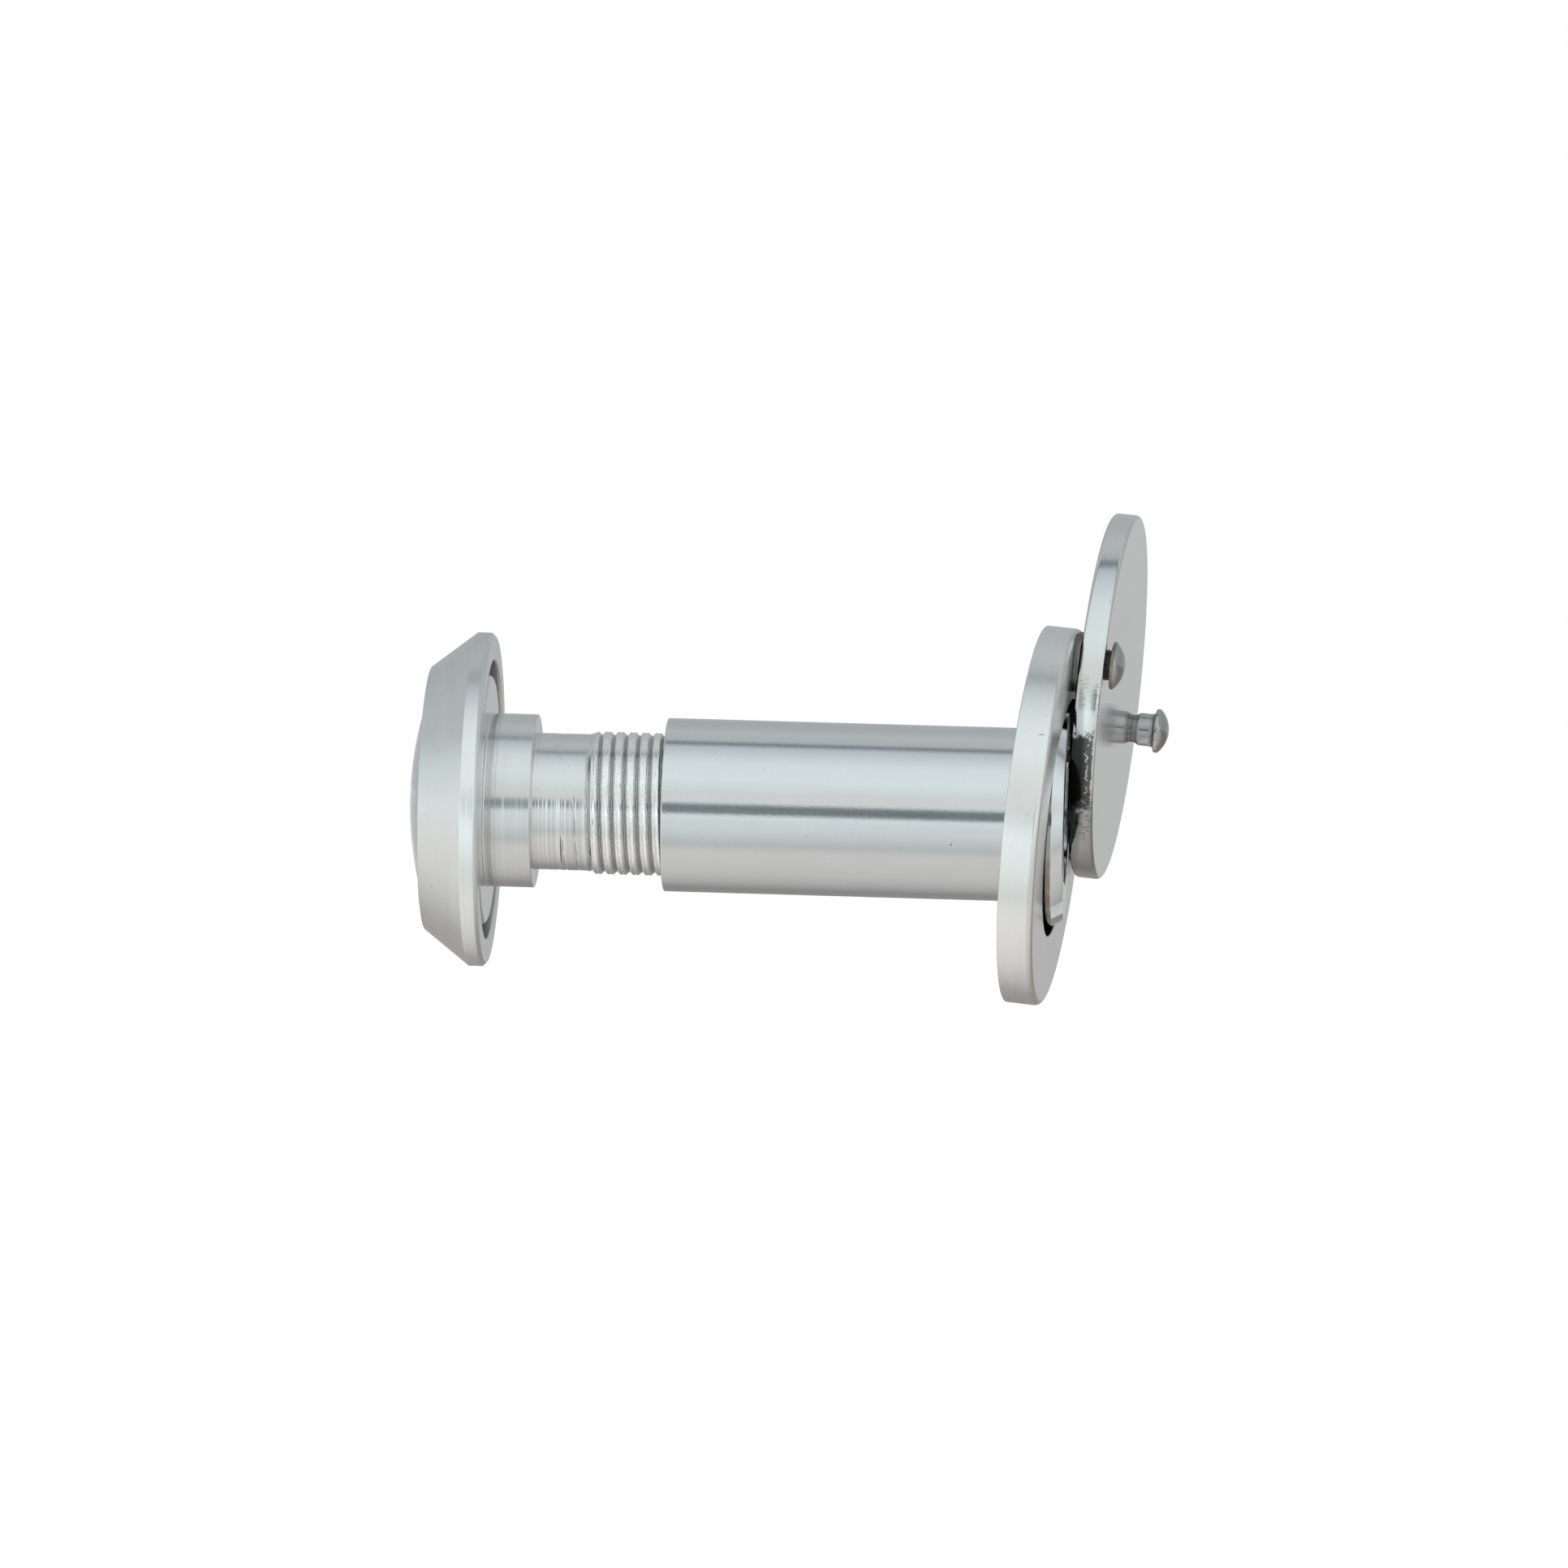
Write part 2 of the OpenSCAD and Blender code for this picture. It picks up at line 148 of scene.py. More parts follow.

# Sizes of the CAD that a piece shares with its tone and painted light, or with its turned detail.
BEZEL_RADIUS = 13.3 * MM
BARREL_RADIUS = 6.9 * MM
THREAD_START = 8.5 * MM
THREAD_END = 29.3 * MM
COVER_THICKNESS = 2.0 * MM
RIVET_SLACK = 0.4 * MM

# The tool's run-out grooves on the neck, one pitch apart: pitches from the start of the thread,
# the share of a turn at which the groove begins, and its depth in mm.
RUN_OUT_GROOVES = ((-3, 0.565, 0.075), (-2, 0.46, 0.085), (-1, 0.36, 0.12))

# One pitch of the thread, as shares of the pitch and of the height, with a split crest.
RIDGE_AT = (0, 0.05, 0.27, 0.36, 0.50, 0.64, 0.73, 0.95, 1)
RIDGE_HEIGHT = (0, 0.02, 0.94, 1.0, 0.0, 1.0, 0.94, 0.02, 0)

# How far a piece may lie off its CAD box, and the sharpest corner that is shaded smooth.
BOX_TOLERANCE = 0.12 * MM
SMOOTH_UP_TO = math.radians(32)

# Colours without a setting: a painted highlight on the coin slot's faces, painted shade on the washer in
# the cover's gap, and what metal sees of the photographer.
SLOT_PAINTED_HIGHLIGHT = (0.96, 0.96, 0.95)
WASHER_PAINTED_SHADE = (0.16, 0.155, 0.15)
PHOTOGRAPHER = (0.20, 0.24, 0.25)


# ---------------------------------------------------------------- sizes and finishes


def length(name, description, default):
    """A size in metres that a user can change."""
    return FloatProperty(
        name=name, description=description, default=default, min=0.0, precision=6,
        subtype="DISTANCE", unit="LENGTH",
    )


def share(name, description, default):
    """A plain number from 0 to 1."""
    return FloatProperty(
        name=name, description=description, default=default, min=0.0, max=1.0, subtype="FACTOR",
    )


def colour(name, description, default):
    """A colour."""
    return FloatVectorProperty(
        name=name, description=description, default=default, min=0.0, max=1.0, size=3,
        subtype="COLOR",
    )


class DoorViewerSizes(bpy.types.PropertyGroup):
    """Sizes of the turned details that the CAD frame leaves plain."""

    neck_radius: length("Neck radius", "Radius of the neck and of the thread's root", 5.44 * MM)
    thread_height: length("Thread height", "From the thread's root to its crest", 0.25 * MM)
    thread_pitch: length("Thread pitch", "Distance from one ridge to the next", 1.0 * MM)
    crest_dip: length("Crest dip", "Depth of the dip in each flattened crest", 0.055 * MM)
    thread_tear: length("Thread tear", "How far torn metal moves the thread's surface", 0.008 * MM)
    neck_marks: length("Neck marks", "Height of the turning marks on the neck", 0.010 * MM)
    shoulder_marks: length("Shoulder marks", "Height of the turning marks on the shoulder", 0.0022 * MM)
    rim_marks: length("Rim marks", "Height of the turning marks on the bezel's rim", 0.004 * MM)
    disc_edge: length("Disc edge", "Rounding of the rosette's front edge", 0.5 * MM)
    cover_edge: length("Cover edge", "Rounding of the cover's edges", 0.35 * MM)
    bezel_edge: length("Bezel edge", "Rounding of the bezel's corners", 0.12 * MM)


class DoorViewerFinishes(bpy.types.PropertyGroup):
    """Colours and polish of the metals, the glass and the black parts, and the colours of painted light
    and shade.
    """

    bezel: colour("Bezel", "Colour of the bezel's plating", (0.735, 0.745, 0.74))
    tube: colour("Tube", "Colour of the bare turned tube", (0.70, 0.705, 0.70))
    sleeve: colour("Sleeve", "Colour of the sleeve's plating", (0.70, 0.71, 0.715))
    disc: colour("Cover", "Colour of the cover's plating", (0.71, 0.715, 0.71))
    # painted light: the rosette's plating is made lighter than the cover's plating
    rosette: colour("Rosette", "Colour of the rosette's plating", (0.775, 0.775, 0.76))
    # partly painted highlight: the bare crests are made much lighter than the tube
    crest: colour("Thread crests", "Colour of the torn, bare crests of the thread", (0.97, 0.97, 0.95))
    stud: colour("Studs", "Colour of the rivet and the knob", (0.44, 0.44, 0.44))
    worn: colour("Worn edges", "Colour of the metal where the plating is thin", (0.78, 0.70, 0.58))
    # brown tarnishing mixed with painted shade on the sleeve head's back edge and under the rivet's head
    tarnish_shade_colour: colour("Tarnish", "Colour of the brown tarnish in corners", (0.20, 0.155, 0.115))
    # painted reflection: the dark patch on the cover's rim
    painted_reflection: colour("Stain", "Colour of the dark stain on the cover's rim", (0.030, 0.029, 0.028))
    glass: colour("Glass", "Tint of the inner lenses", (0.93, 0.96, 0.96))
    front_glass: colour("Front glass", "Tint of the thick objective", (0.62, 0.63, 0.66))
    plastic: colour("Plastic", "Colour of the eyepiece ring and the spacer", (0.03, 0.03, 0.031))
    fibre: colour("Gasket", "Colour of the gasket", (0.075, 0.072, 0.07))
    satin: share("Satin", "Roughness of the satin surfaces", 0.30)
    polish: share("Polish", "Roughness of the polished surfaces", 0.13)


class DoorViewerStudio(bpy.types.PropertyGroup):
    """Light, floor and background."""

    sky: share("Sky", "Level of the light from all round", 0.74)
    lamp_power: FloatProperty(
        name="Lamp power", description="Power of the soft lamp", default=1.0, min=0.0, unit="POWER",
    )
    floor: colour("Floor", "Colour of the floor", (0.80, 0.80, 0.80))
    floor_glow: share("Floor glow", "Share of the floor's white that a shadow can't darken", 0.62)


def sizes():
    """The sizes that the user has set."""
    return bpy.context.scene.door_viewer_sizes


def finishes():
    """The colours and the polish that the user has set."""
    return bpy.context.scene.door_viewer_finishes


# ---------------------------------------------------------------- shader maths


class Wire:
    """A node's output, on which Python's sums add Math or Vector Math nodes."""

    def __init__(self, tree, socket):
        self.tree = tree
        self.socket = socket

    def sum(self, operation, first, second):
        vector = any(isinstance(v, Wire) and v.socket.type == "VECTOR" for v in (first, second))
        kind = "ShaderNodeVectorMath" if vector else "ShaderNodeMath"
        made = self.tree.node(kind, {"operation": operation}, {0: first, 1: second})
        return made["Vector" if vector else "Value"]

    def __add__(self, other):
        return self.sum("ADD", self, other)

    def __radd__(self, other):
        return self.sum("ADD", other, self)

    def __sub__(self, other):
        return self.sum("SUBTRACT", self, other)

    def __rsub__(self, other):
        return self.sum("SUBTRACT", other, self)

    def __mul__(self, other):
        return self.sum("MULTIPLY", self, other)

    def __rmul__(self, other):
        return self.sum("MULTIPLY", other, self)

    def __pow__(self, other):
        return self.sum("POWER", self, other)

    def at_least(self, other):
        return self.sum("MAXIMUM", self, other)

    def at_most(self, other):
        return self.sum("MINIMUM", self, other)

    def clamped(self):
        return self.at_least(0.0).at_most(1.0)

    def step(self, start, end):
        """0 below start and 1 above end, or the other way round where end is the lower."""
        return ((self - start) * (1.0 / (end - start))).clamped()

    def inside(self, low, high, soft=0.08 * MM):
        """1 where the value lies between low and high, with soft ends."""
        return self.step(low - soft, low) * self.step(high + soft, high)

    def near(self, centre, reach):
        """1 where a place is at a mark's centre, falling to 0 at its reach along each axis."""
        spread = [1.0 / r for r in reach]
        return (1.0 - ((self - tuple(centre)) * tuple(spread)).size()).clamped()

    def size(self):
        made = self.tree.node("ShaderNodeVectorMath", {"operation": "LENGTH"}, {0: self})
        return made["Value"]

    def dot(self, other):
        values = {0: self, 1: other}
        return self.tree.node("ShaderNodeVectorMath", {"operation": "DOT_PRODUCT"}, values)["Value"]

    def parts(self):
        made = self.tree.node("ShaderNodeSeparateXYZ", {}, {"Vector": self})
        return made["X"], made["Y"], made["Z"]


class Made:
    """A node whose outputs are asked for by name."""

    def __init__(self, tree, node):
        self.tree = tree
        self.node = node

    def __getitem__(self, name):
        return Wire(self.tree, self.node.outputs[name])


class Tree:
    """The nodes of a material or a world."""

    def __init__(self, owner):
        owner.use_nodes = True
        self.nodes = owner.node_tree.nodes
        self.links = owner.node_tree.links
        self.nodes.clear()

    def node(self, kind, settings=None, values=None):
        """Adds a node: its settings first, then a value or a link for each named socket."""
        node = self.nodes.new(kind)
        for name, value in (settings or {}).items():
            setattr(node, name, value)
        for name, value in (values or {}).items():
            socket = node.inputs[name] if isinstance(name, int) else self.named(node, name)
            if isinstance(value, Wire):
                self.links.new(value.socket, socket)
            elif hasattr(socket.default_value, "__len__") and isinstance(value, (int, float)):
                socket.default_value = [value] * len(socket.default_value)
            elif hasattr(socket.default_value, "__len__") and len(value) < len(socket.default_value):
                socket.default_value = [*value, 1.0]
            else:
                socket.default_value = value
        return Made(self, node)

    def named(self, node, name):
        """The input with that identifier, or else the first with that name."""
        for socket in node.inputs:
            if socket.identifier == name:
                return socket
        return node.inputs[name]

    def blend(self, factor, first, second, how="MIX"):
        """A colour between two colours, or the two put together in another way."""
        settings = {"data_type": "RGBA", "blend_type": how}
        values = {"Factor_Float": factor, "A_Color": first, "B_Color": second}
        return Wire(self, self.node("ShaderNodeMix", settings, values).node.outputs[2])

    def tinted(self, shade, value):
        """A colour made lighter or darker by a number."""
        return self.blend(1.0, shade, value, "MULTIPLY")

    def join(self, x, y, z):
        return self.node("ShaderNodeCombineXYZ", {}, {"X": x, "Y": y, "Z": z})["Vector"]

    def noise(self, place, scale, detail=2.0, sharpness=0.5):
        values = {"Vector": place, "Scale": scale, "Detail": detail, "Roughness": sharpness}
        return self.node("ShaderNodeTexNoise", {}, values)["Fac"]

    def ramp(self, factor, stops):
        """The colour at that place along (place, colour) stops."""
        made = self.node("ShaderNodeValToRGB", {}, {"Fac": factor})
        elements = made.node.color_ramp.elements
        while len(elements) < len(stops):
            elements.new(1.0)
        for element, (place, shade) in zip(elements, stops):
            element.position = place
            element.color = (*shade, 1.0)
        return made["Color"]

    def bumped(self, height):
        """The surface's normal where it rises by a height in metres."""
        values = {"Strength": 1.0, "Distance": 1.0, "Height": height}
        return self.node("ShaderNodeBump", {}, values)["Normal"]

    def surface(self, shader):
        self.node("ShaderNodeOutputMaterial", {}, {"Surface": shader})

    def principled(self, values):
        self.surface(self.node("ShaderNodeBsdfPrincipled", {}, values)["BSDF"])


def material(name):
    """A new material, its node tree, and the place on the piece, which its noises follow."""
    made = bpy.data.materials.new(name)
    tree = Tree(made)
    return made, tree, tree.node("ShaderNodeTexCoord")["Object"]


def turned_metal(
    name, shade, rough, ring_height, grit_height, smear=0.5, pits=0.6, marks=(), axis=(1, 0, 0),
    painted_shade=(), tarnish_and_shade=(), tone_and_painted_light=None,
):
    """Metal with turning marks round the piece's axis, fine grit, smears, pits and worn edges.

    marks holds (centre, reach, strength) for each scratch or nick.
    painted_shade and tarnish_and_shade hold (from, to, inner, outer, strength) for each band, in mm along
    the axis and out from it. painted_shade darkens a band where shade falls in a recess or gap;
    tarnish_and_shade mixes brown tarnishing with painted shade there.
    tone_and_painted_light may change the colour last, adding tone and painted light:
    it is given the tree, place, along, radius and colour.
    """
    made, tree, place = material(name)
    along = place.dot(tuple(axis))
    radius = (place.dot(place) - along * along).at_least(0.0) ** 0.5
    y, z = place.parts()[1:]

    def ring_noise(across, around, detail, sharpness=0.5):
        """Noise drawn out into rings round the axis, with its scales across and round them."""
        spread = tree.join(along * across, radius * across + y * around, z * around)
        return tree.noise(spread, 1.0, detail, sharpness)

    def band(low, high, inner, outer):
        """1 between two distances along the axis and two radii, in mm."""
        return along.inside(low * MM, high * MM) * radius.inside(inner * MM, outer * MM)

    rings = ring_noise(5200.0, 260.0, 3.0, 0.62)
    coarse = ring_noise(1500.0, 120.0, 2.0)
    streak = ring_noise(900.0, 150.0, 3.0)
    grit = tree.noise(place, 7600.0, 3.0, 0.7)
    cloud = tree.noise(place, 230.0, 4.0, 0.6)
    specks = tree.noise(place, 2500.0, 1.0).step(0.755, 0.79)
    edge = tree.node("ShaderNodeAttribute", {"attribute_name": "edge"})["Fac"]
    wear = (edge * tree.noise(place, 900.0, 3.0).step(0.42, 0.62)).clamped()

    tone = 1.0 + (cloud - 0.5) * (0.14 * smear) + (streak - 0.5) * (0.10 * smear)
    tone = tone * (1.0 - specks * (0.5 * pits))
    height = (rings - 0.5) * ring_height + (coarse - 0.5) * (ring_height * 2.2)
    height = height + (grit - 0.5) * grit_height
    for centre, reach, strength in marks:
        mark = place.near(centre, reach)
        ragged = (mark * (0.55 + tree.noise(place, 5200.0, 2.0))).step(0.28, 0.5)
        tone = tone * (1.0 - ragged * strength)
        height = height - mark * (0.02 * MM)
    # painted shade: each band is darkened where shade falls in a recess or gap
    for *where, strength in painted_shade:
        tone = tone * (1.0 - band(*where) * strength)
    base = tree.blend(wear * 0.42, tree.tinted(tuple(shade), tone), tuple(finishes().worn))
    # brown tarnishing mixed with painted shade in a corner
    for *where, strength in tarnish_and_shade:
        brown = band(*where) * cloud.step(0.1, 0.6) * strength
        base = tree.blend(brown, base, tuple(finishes().tarnish_shade_colour))
    if tone_and_painted_light is not None:
        base = tone_and_painted_light(tree, place, along, radius, base)
    polish = rough + (cloud - 0.5) * (0.16 * smear) + (rings - 0.5) * 0.06 - wear * 0.06
    tree.principled({
        "Base Color": base, "Metallic": 1.0, "Roughness": polish.at_least(0.05).at_most(0.8),
        "Normal": tree.bumped(height),
    })
    return made


def rim_painted_reflection(centre):
    """A painted dark reflection on the cover's rim, on its side towards -Y, with a pale line in it, dark
    flecks above it, and darkening and flecks below it.
    """
    painted_reflection = tuple(finishes().painted_reflection)

    def tone_and_painted_light(tree, place, along, radius, base):
        y, z = place.parts()[1:]
        up = z - centre.z
        # painted reflection: only on the rim, on its side towards -Y
        rim = radius.step(COVER_RADIUS - 0.42 * MM, COVER_RADIUS - 0.30 * MM)
        rim = rim * y.step(-2.0 * MM, -5.0 * MM)
        broken = tree.noise(place, 2300.0, 4.0, 0.7) - 0.5
        flecks = tree.noise(tree.join(along * 1700.0, y * 1700.0, up * 5600.0), 1.0, 3.0, 0.7)
        flecks = flecks.step(0.48, 0.62)
        back_half = along.inside(0.3 * MM, 0.85 * MM, 0.2 * MM)
        back_half = back_half * up.inside(5.2 * MM, 7.2 * MM, 0.6 * MM)
        front_edge = along.inside(1.45 * MM, 1.9 * MM, 0.15 * MM)
        front_edge = front_edge * up.inside(4.7 * MM, 6.8 * MM, 0.6 * MM)
        above = (back_half + front_edge).clamped() * flecks
        below = up.inside(-9.0 * MM, -2.9 * MM, 1.4 * MM)
        speckled = up.inside(-5.0 * MM, -2.0 * MM, 0.9 * MM) * flecks
        black = (along + broken * (0.4 * MM)).inside(-0.4 * MM, 1.72 * MM, 0.12 * MM)
        black = black * (up + broken * (2.2 * MM)).inside(-2.8 * MM, 2.6 * MM, 0.5 * MM)
        wander = tree.noise(tree.join(up * 1050.0, 0.0, 0.0), 1.0, 2.5, 0.7) - 0.5
        pale_line = (along + wander * (2.0 * MM)).inside(1.36 * MM, 1.43 * MM, 0.05 * MM)
        pale_line = pale_line * tree.noise(place, 1300.0, 2.0).step(0.47, 0.55)
        depth = 0.97 - along.step(0.9 * MM, 1.6 * MM) * 0.12
        base = tree.blend(rim * below * 0.52, base, 0.13)
        base = tree.blend(rim * above * 0.45, base, 0.13)
        base = tree.blend(rim * speckled * 0.6, base, 0.10)
        return tree.blend(rim * black * depth * (1.0 - pale_line * 0.80), base, painted_reflection)

    return tone_and_painted_light


def clear_glass(name, shade):
    """Lens glass with a faint film of dust."""
    made, tree, place = material(name)
    film = tree.noise(place, 700.0, 4.0, 0.6)
    tree.principled({
        "Base Color": tree.tinted(tuple(shade), 0.96 + film * 0.06),
        "Roughness": 0.01 + film.step(0.5, 0.75) * 0.05,
        "IOR": 1.49, "Transmission Weight": 1.0,
    })
    return made


def moulded(name, shade, rough, grain):
    """Moulded plastic or pressed fibre: fine grain, a little dust and uneven sheen."""
    made, tree, place = material(name)
    fine = tree.noise(place, grain, 3.0, 0.6)
    dust = tree.noise(place, 650.0, 3.0).step(0.52, 0.8)
    tree.principled({
        "Base Color": tree.blend(dust * 0.12, tree.tinted(tuple(shade), 0.85 + fine * 0.3), 0.35),
        "Roughness": rough + (fine - 0.5) * 0.15, "Normal": tree.bumped(fine * (0.012 * MM)),
    })
    return made


# ---------------------------------------------------------------- mesh making


def rounded(corners, steps=6):
    """Turns (x, radius, rounding) corners, in mm, into (x, radius, wear) points in metres."""
    points = []
    count = len(corners)
    for i, (x, r, size) in enumerate(corners):
        here = np.array([x, r])
        if size == 0:
            points.append((x, r, 0.0))
            continue
        back = np.array(corners[i - 1][:2]) - here
        ahead = np.array(corners[(i + 1) % count][:2]) - here
        to_back = back / np.linalg.norm(back)
        to_ahead = ahead / np.linalg.norm(ahead)
        half = math.acos(max(-1.0, min(1.0, float(to_back @ to_ahead)))) / 2
        reach = min(size / math.tan(half), 0.45 * np.linalg.norm(back), 0.45 * np.linalg.norm(ahead))
        radius = reach * math.tan(half)
        middle = to_back + to_ahead
        centre = here + middle / np.linalg.norm(middle) * radius / math.sin(half)
        first = here + to_back * reach - centre
        last = here + to_ahead * reach - centre
        swing = math.pi - 2 * half
        for s in range(steps + 1):
            f = s / steps
            point = (math.sin((1 - f) * swing) * first + math.sin(f * swing) * last) / math.sin(swing)
            points.append((*(centre + point), math.sin(math.pi * f)))
    return [(x * MM, r * MM, wear) for x, r, wear in points]


def dome(width, height, x, side, steps=24):
    """Points of a dome over that width, from its rim at x to its crown on the axis, in mm."""
    radius = (width * width / 4 + height * height) / (2 * height)
    points = []
    for i in range(steps + 1):
        r = width / 2 * math.cos(i / steps * math.pi / 2)
        rise = height - radius + math.sqrt(max(radius * radius - r * r, 0.0))
        points.append((x + side * rise, r if i < steps else 0.0, 0))
    return points


def lens(start, end, radius, width, rise, bulge=1):
    """A lens's section from start to end, with domed faces or, at bulge -1, dished ones, in mm."""
    rim = [(start, radius, 0.05), (end, radius, 0.05)]
    return [*reversed(dome(width, rise, start, -bulge)), *rim, *dome(width, rise, end, bulge)]


def finished_mesh(name, vertices, faces, wear, metal):
    """A closed, smooth mesh with its outside out and its edge wear kept in an attribute."""
    mesh = bpy.data.meshes.new(name)
    mesh.from_pydata(vertices, [], faces)
    attribute = mesh.attributes.new("edge", "FLOAT", "POINT")
    attribute.data.foreach_set("value", wear)
    work = bmesh.new()
    work.from_mesh(mesh)
    bmesh.ops.remove_doubles(work, verts=work.verts, dist=1e-7)
    bmesh.ops.recalc_face_normals(work, faces=work.faces)
    work.to_mesh(mesh)
    work.free()
    mesh.materials.append(metal)
    smooth(mesh)
    return mesh


def smooth(mesh):
    """Smooth shading that stops at real corners."""
    mesh.shade_smooth()
    mesh.set_sharp_from_angle(angle=SMOOTH_UP_TO)


def turned(name, section, metal, steps=224, shape=None):
    """A mesh made by turning a section of (x, radius, wear) points about X.

    shape may change the radii: it is given the grids of x, of the angle and of the radius.
    """
    rows = np.array(section, float)
    angles = np.arange(steps) * TURN / steps
    along = np.repeat(rows[:, 0:1], steps, axis=1)
    angle = np.repeat(angles[None, :], len(rows), axis=0)
    radius = np.repeat(rows[:, 1:2], steps, axis=1)
    if shape is not None:
        radius = shape(along, angle, radius)
    grid = np.stack([along, radius * np.cos(angle), radius * np.sin(angle)], axis=-1)
    vertices = grid.reshape(-1, 3)
    open_ended = rows[0, 1] == 0 and rows[-1, 1] == 0
    faces = []
    for i in range(len(rows) - 1 if open_ended else len(rows)):
        j = (i + 1) % len(rows)
        for k in range(steps):
            n = (k + 1) % steps
            faces.append((i * steps + k, j * steps + k, j * steps + n, i * steps + n))
    return finished_mesh(name, vertices.tolist(), faces, np.repeat(rows[:, 2], steps), metal)


def placed(name, data, place=None):
    """A new object in the scene, at its place."""
    made = bpy.data.objects.new(name, data)
    bpy.context.scene.collection.objects.link(made)
    made.matrix_world = place or Matrix()
    return made


def turned_cutter(name, section, place):
    """A turned cutter, from (x, radius) corners in mm, which is removed after its cut."""
    rows = [(x * MM, r * MM, 0) for x, r in section]
    return placed(name, turned(name, rows, None, steps=96), place)


def with_rows(section, radius, start, end, step):
    """Adds close rows, in mm, to the straight part of a section at that radius."""
    first = next(
        i for i, (a, b) in enumerate(zip(section, section[1:]))
        if a[0] < start * MM and b[0] > end * MM and abs(b[1] - a[1]) < 0.3 * MM
        and abs(a[1] - radius * MM) < 0.3 * MM
    )
    rows = [(x * MM, radius * MM, 0.0) for x in np.arange(start, end, step)]
    return section[:first + 1] + rows + section[first + 1:]


def block_cutter(name, size, place):
    """A block-shaped cutter, which is removed after its cut."""
    work = bmesh.new()
    bmesh.ops.create_cube(work, size=1.0)
    bmesh.ops.scale(work, vec=size, verts=work.verts)
    mesh = bpy.data.meshes.new(name)
    work.to_mesh(mesh)
    work.free()
    return placed(name, mesh, place)


def cut(piece, cutters):
    """Takes the cutters out of a piece."""
    bpy.context.view_layer.update()
    for cutter in cutters:
        taken = piece.modifiers.new("cut", "BOOLEAN")
        taken.operation = "DIFFERENCE"
        taken.solver = "EXACT"
        taken.object = cutter
    bpy.context.view_layer.update()
    seen = piece.evaluated_get(bpy.context.evaluated_depsgraph_get())
    mesh = bpy.data.meshes.new_from_object(seen)
    piece.modifiers.clear()
    piece.data = mesh
    smooth(mesh)
    for cutter in cutters:
        bpy.data.objects.remove(cutter)


def dressed(piece, metal):
    """Gives a finished piece its metal."""
    piece.data.materials.clear()
    piece.data.materials.append(metal)


def normal_of(place):
    """The direction of a place's own X axis in the frame."""
    return place.to_3x3() @ Vector((1, 0, 0))


def corner_points(piece):
    """The vertices of a piece where it stands, in the frame."""
    count = len(piece.data.vertices)
    flat = np.zeros(count * 3)
    piece.data.vertices.foreach_get("co", flat)
    place = np.array(piece.matrix_world)
    return flat.reshape(-1, 3) @ place[:3, :3].T + place[:3, 3]


def put_in(name, section, metal, node, steps, place=None, cutters=(), shape=None):
    """Turns a piece and puts it in the frame instead of its CAD node, on that node's body."""
    place = place or Matrix()
    piece = placed(name, turned(name, section, metal, steps, shape), place)
    bpy.context.view_layer.update()
    if cutters:
        cut(piece, cutters)
    piece.data.transform(place.to_3x3().to_4x4())
    piece.matrix_world = Matrix.Translation(place.translation)
    bpy.context.view_layer.update()
    even = piece.modifiers.new("even shading", "WEIGHTED_NORMAL")
    even.keep_sharp = True
    low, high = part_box(node)
    points = corner_points(piece)
    away = max(np.abs(points.min(0) - low).max(), np.abs(points.max(0) - high).max())
    if away > BOX_TOLERANCE:
        raise RuntimeError(f"{name} is {away / MM:.3f} mm off the box of {node}")
    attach(piece, frame["nodes"][node]["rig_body"])
    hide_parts(node)
    return piece


# ---------------------------------------------------------------- placing


def rosette_place():
    """Where the middle of the rosette's front face lies, with X as its normal."""
    side = Vector((0, math.sin(LEAN_CLOCK), math.cos(LEAN_CLOCK)))
    axis = Vector((0, math.cos(LEAN_CLOCK), -math.sin(LEAN_CLOCK)))
    head_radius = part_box("sleeve")[1].z
    floor_x = next(j for j in frame["joints"] if j["name"] == "rosette_lean")["pos_m"][0]
    contact = side * head_radius
    onto = Matrix.Translation(Vector((floor_x, 0, 0)) + contact)
    back = Matrix.Translation(Vector((COUNTERBORE_DEPTH, 0, 0)) - contact)
    return onto @ Matrix.Rotation(LEAN, 4, axis) @ back


def pivot_side():
    """From the rosette's middle towards the pivot."""
    return Vector((0, math.sin(PIVOT_CLOCK), math.cos(PIVOT_CLOCK)))


def pivot_place():
    """The rosette's place, moved to the pivot's axis."""
    return rosette_place() @ Matrix.Translation(pivot_side() * PIVOT_RADIUS)


def cover_place():
    """Where the middle of the cover's back face lies on the swung cover."""
    pivot = pivot_side() * PIVOT_RADIUS
    swing = Matrix.Rotation(COVER_OPEN, 4, "X")
    out = Matrix.Translation(Vector((COVER_GAP, 0, 0)) + pivot)
    return rosette_place() @ out @ swing @ Matrix.Translation(-pivot)


def knob_place():
    """The cover's place, moved to the knob's axis."""
    return cover_place() @ Matrix.Translation(-pivot_side() * KNOB_RADIUS)


def camera_axes():
    """The photograph's camera: its right, up and back directions, and where it stands."""
    yaw, rise, roll = CAMERA_YAW, CAMERA_ELEVATION, CAMERA_ROLL
    back = Vector((math.sin(yaw) * math.cos(rise), -math.cos(yaw) * math.cos(rise), math.sin(rise)))
    level = Vector((0, 0, 1)).cross(back).normalized()
    above = back.cross(level)
    right = level * math.cos(roll) + above * math.sin(roll)
    up = above * math.cos(roll) - level * math.sin(roll)
    aim = CAMERA_AIM + right * CAMERA_AIM_RIGHT + up * CAMERA_AIM_UP
    return right, up, back, aim + back * CAMERA_DISTANCE


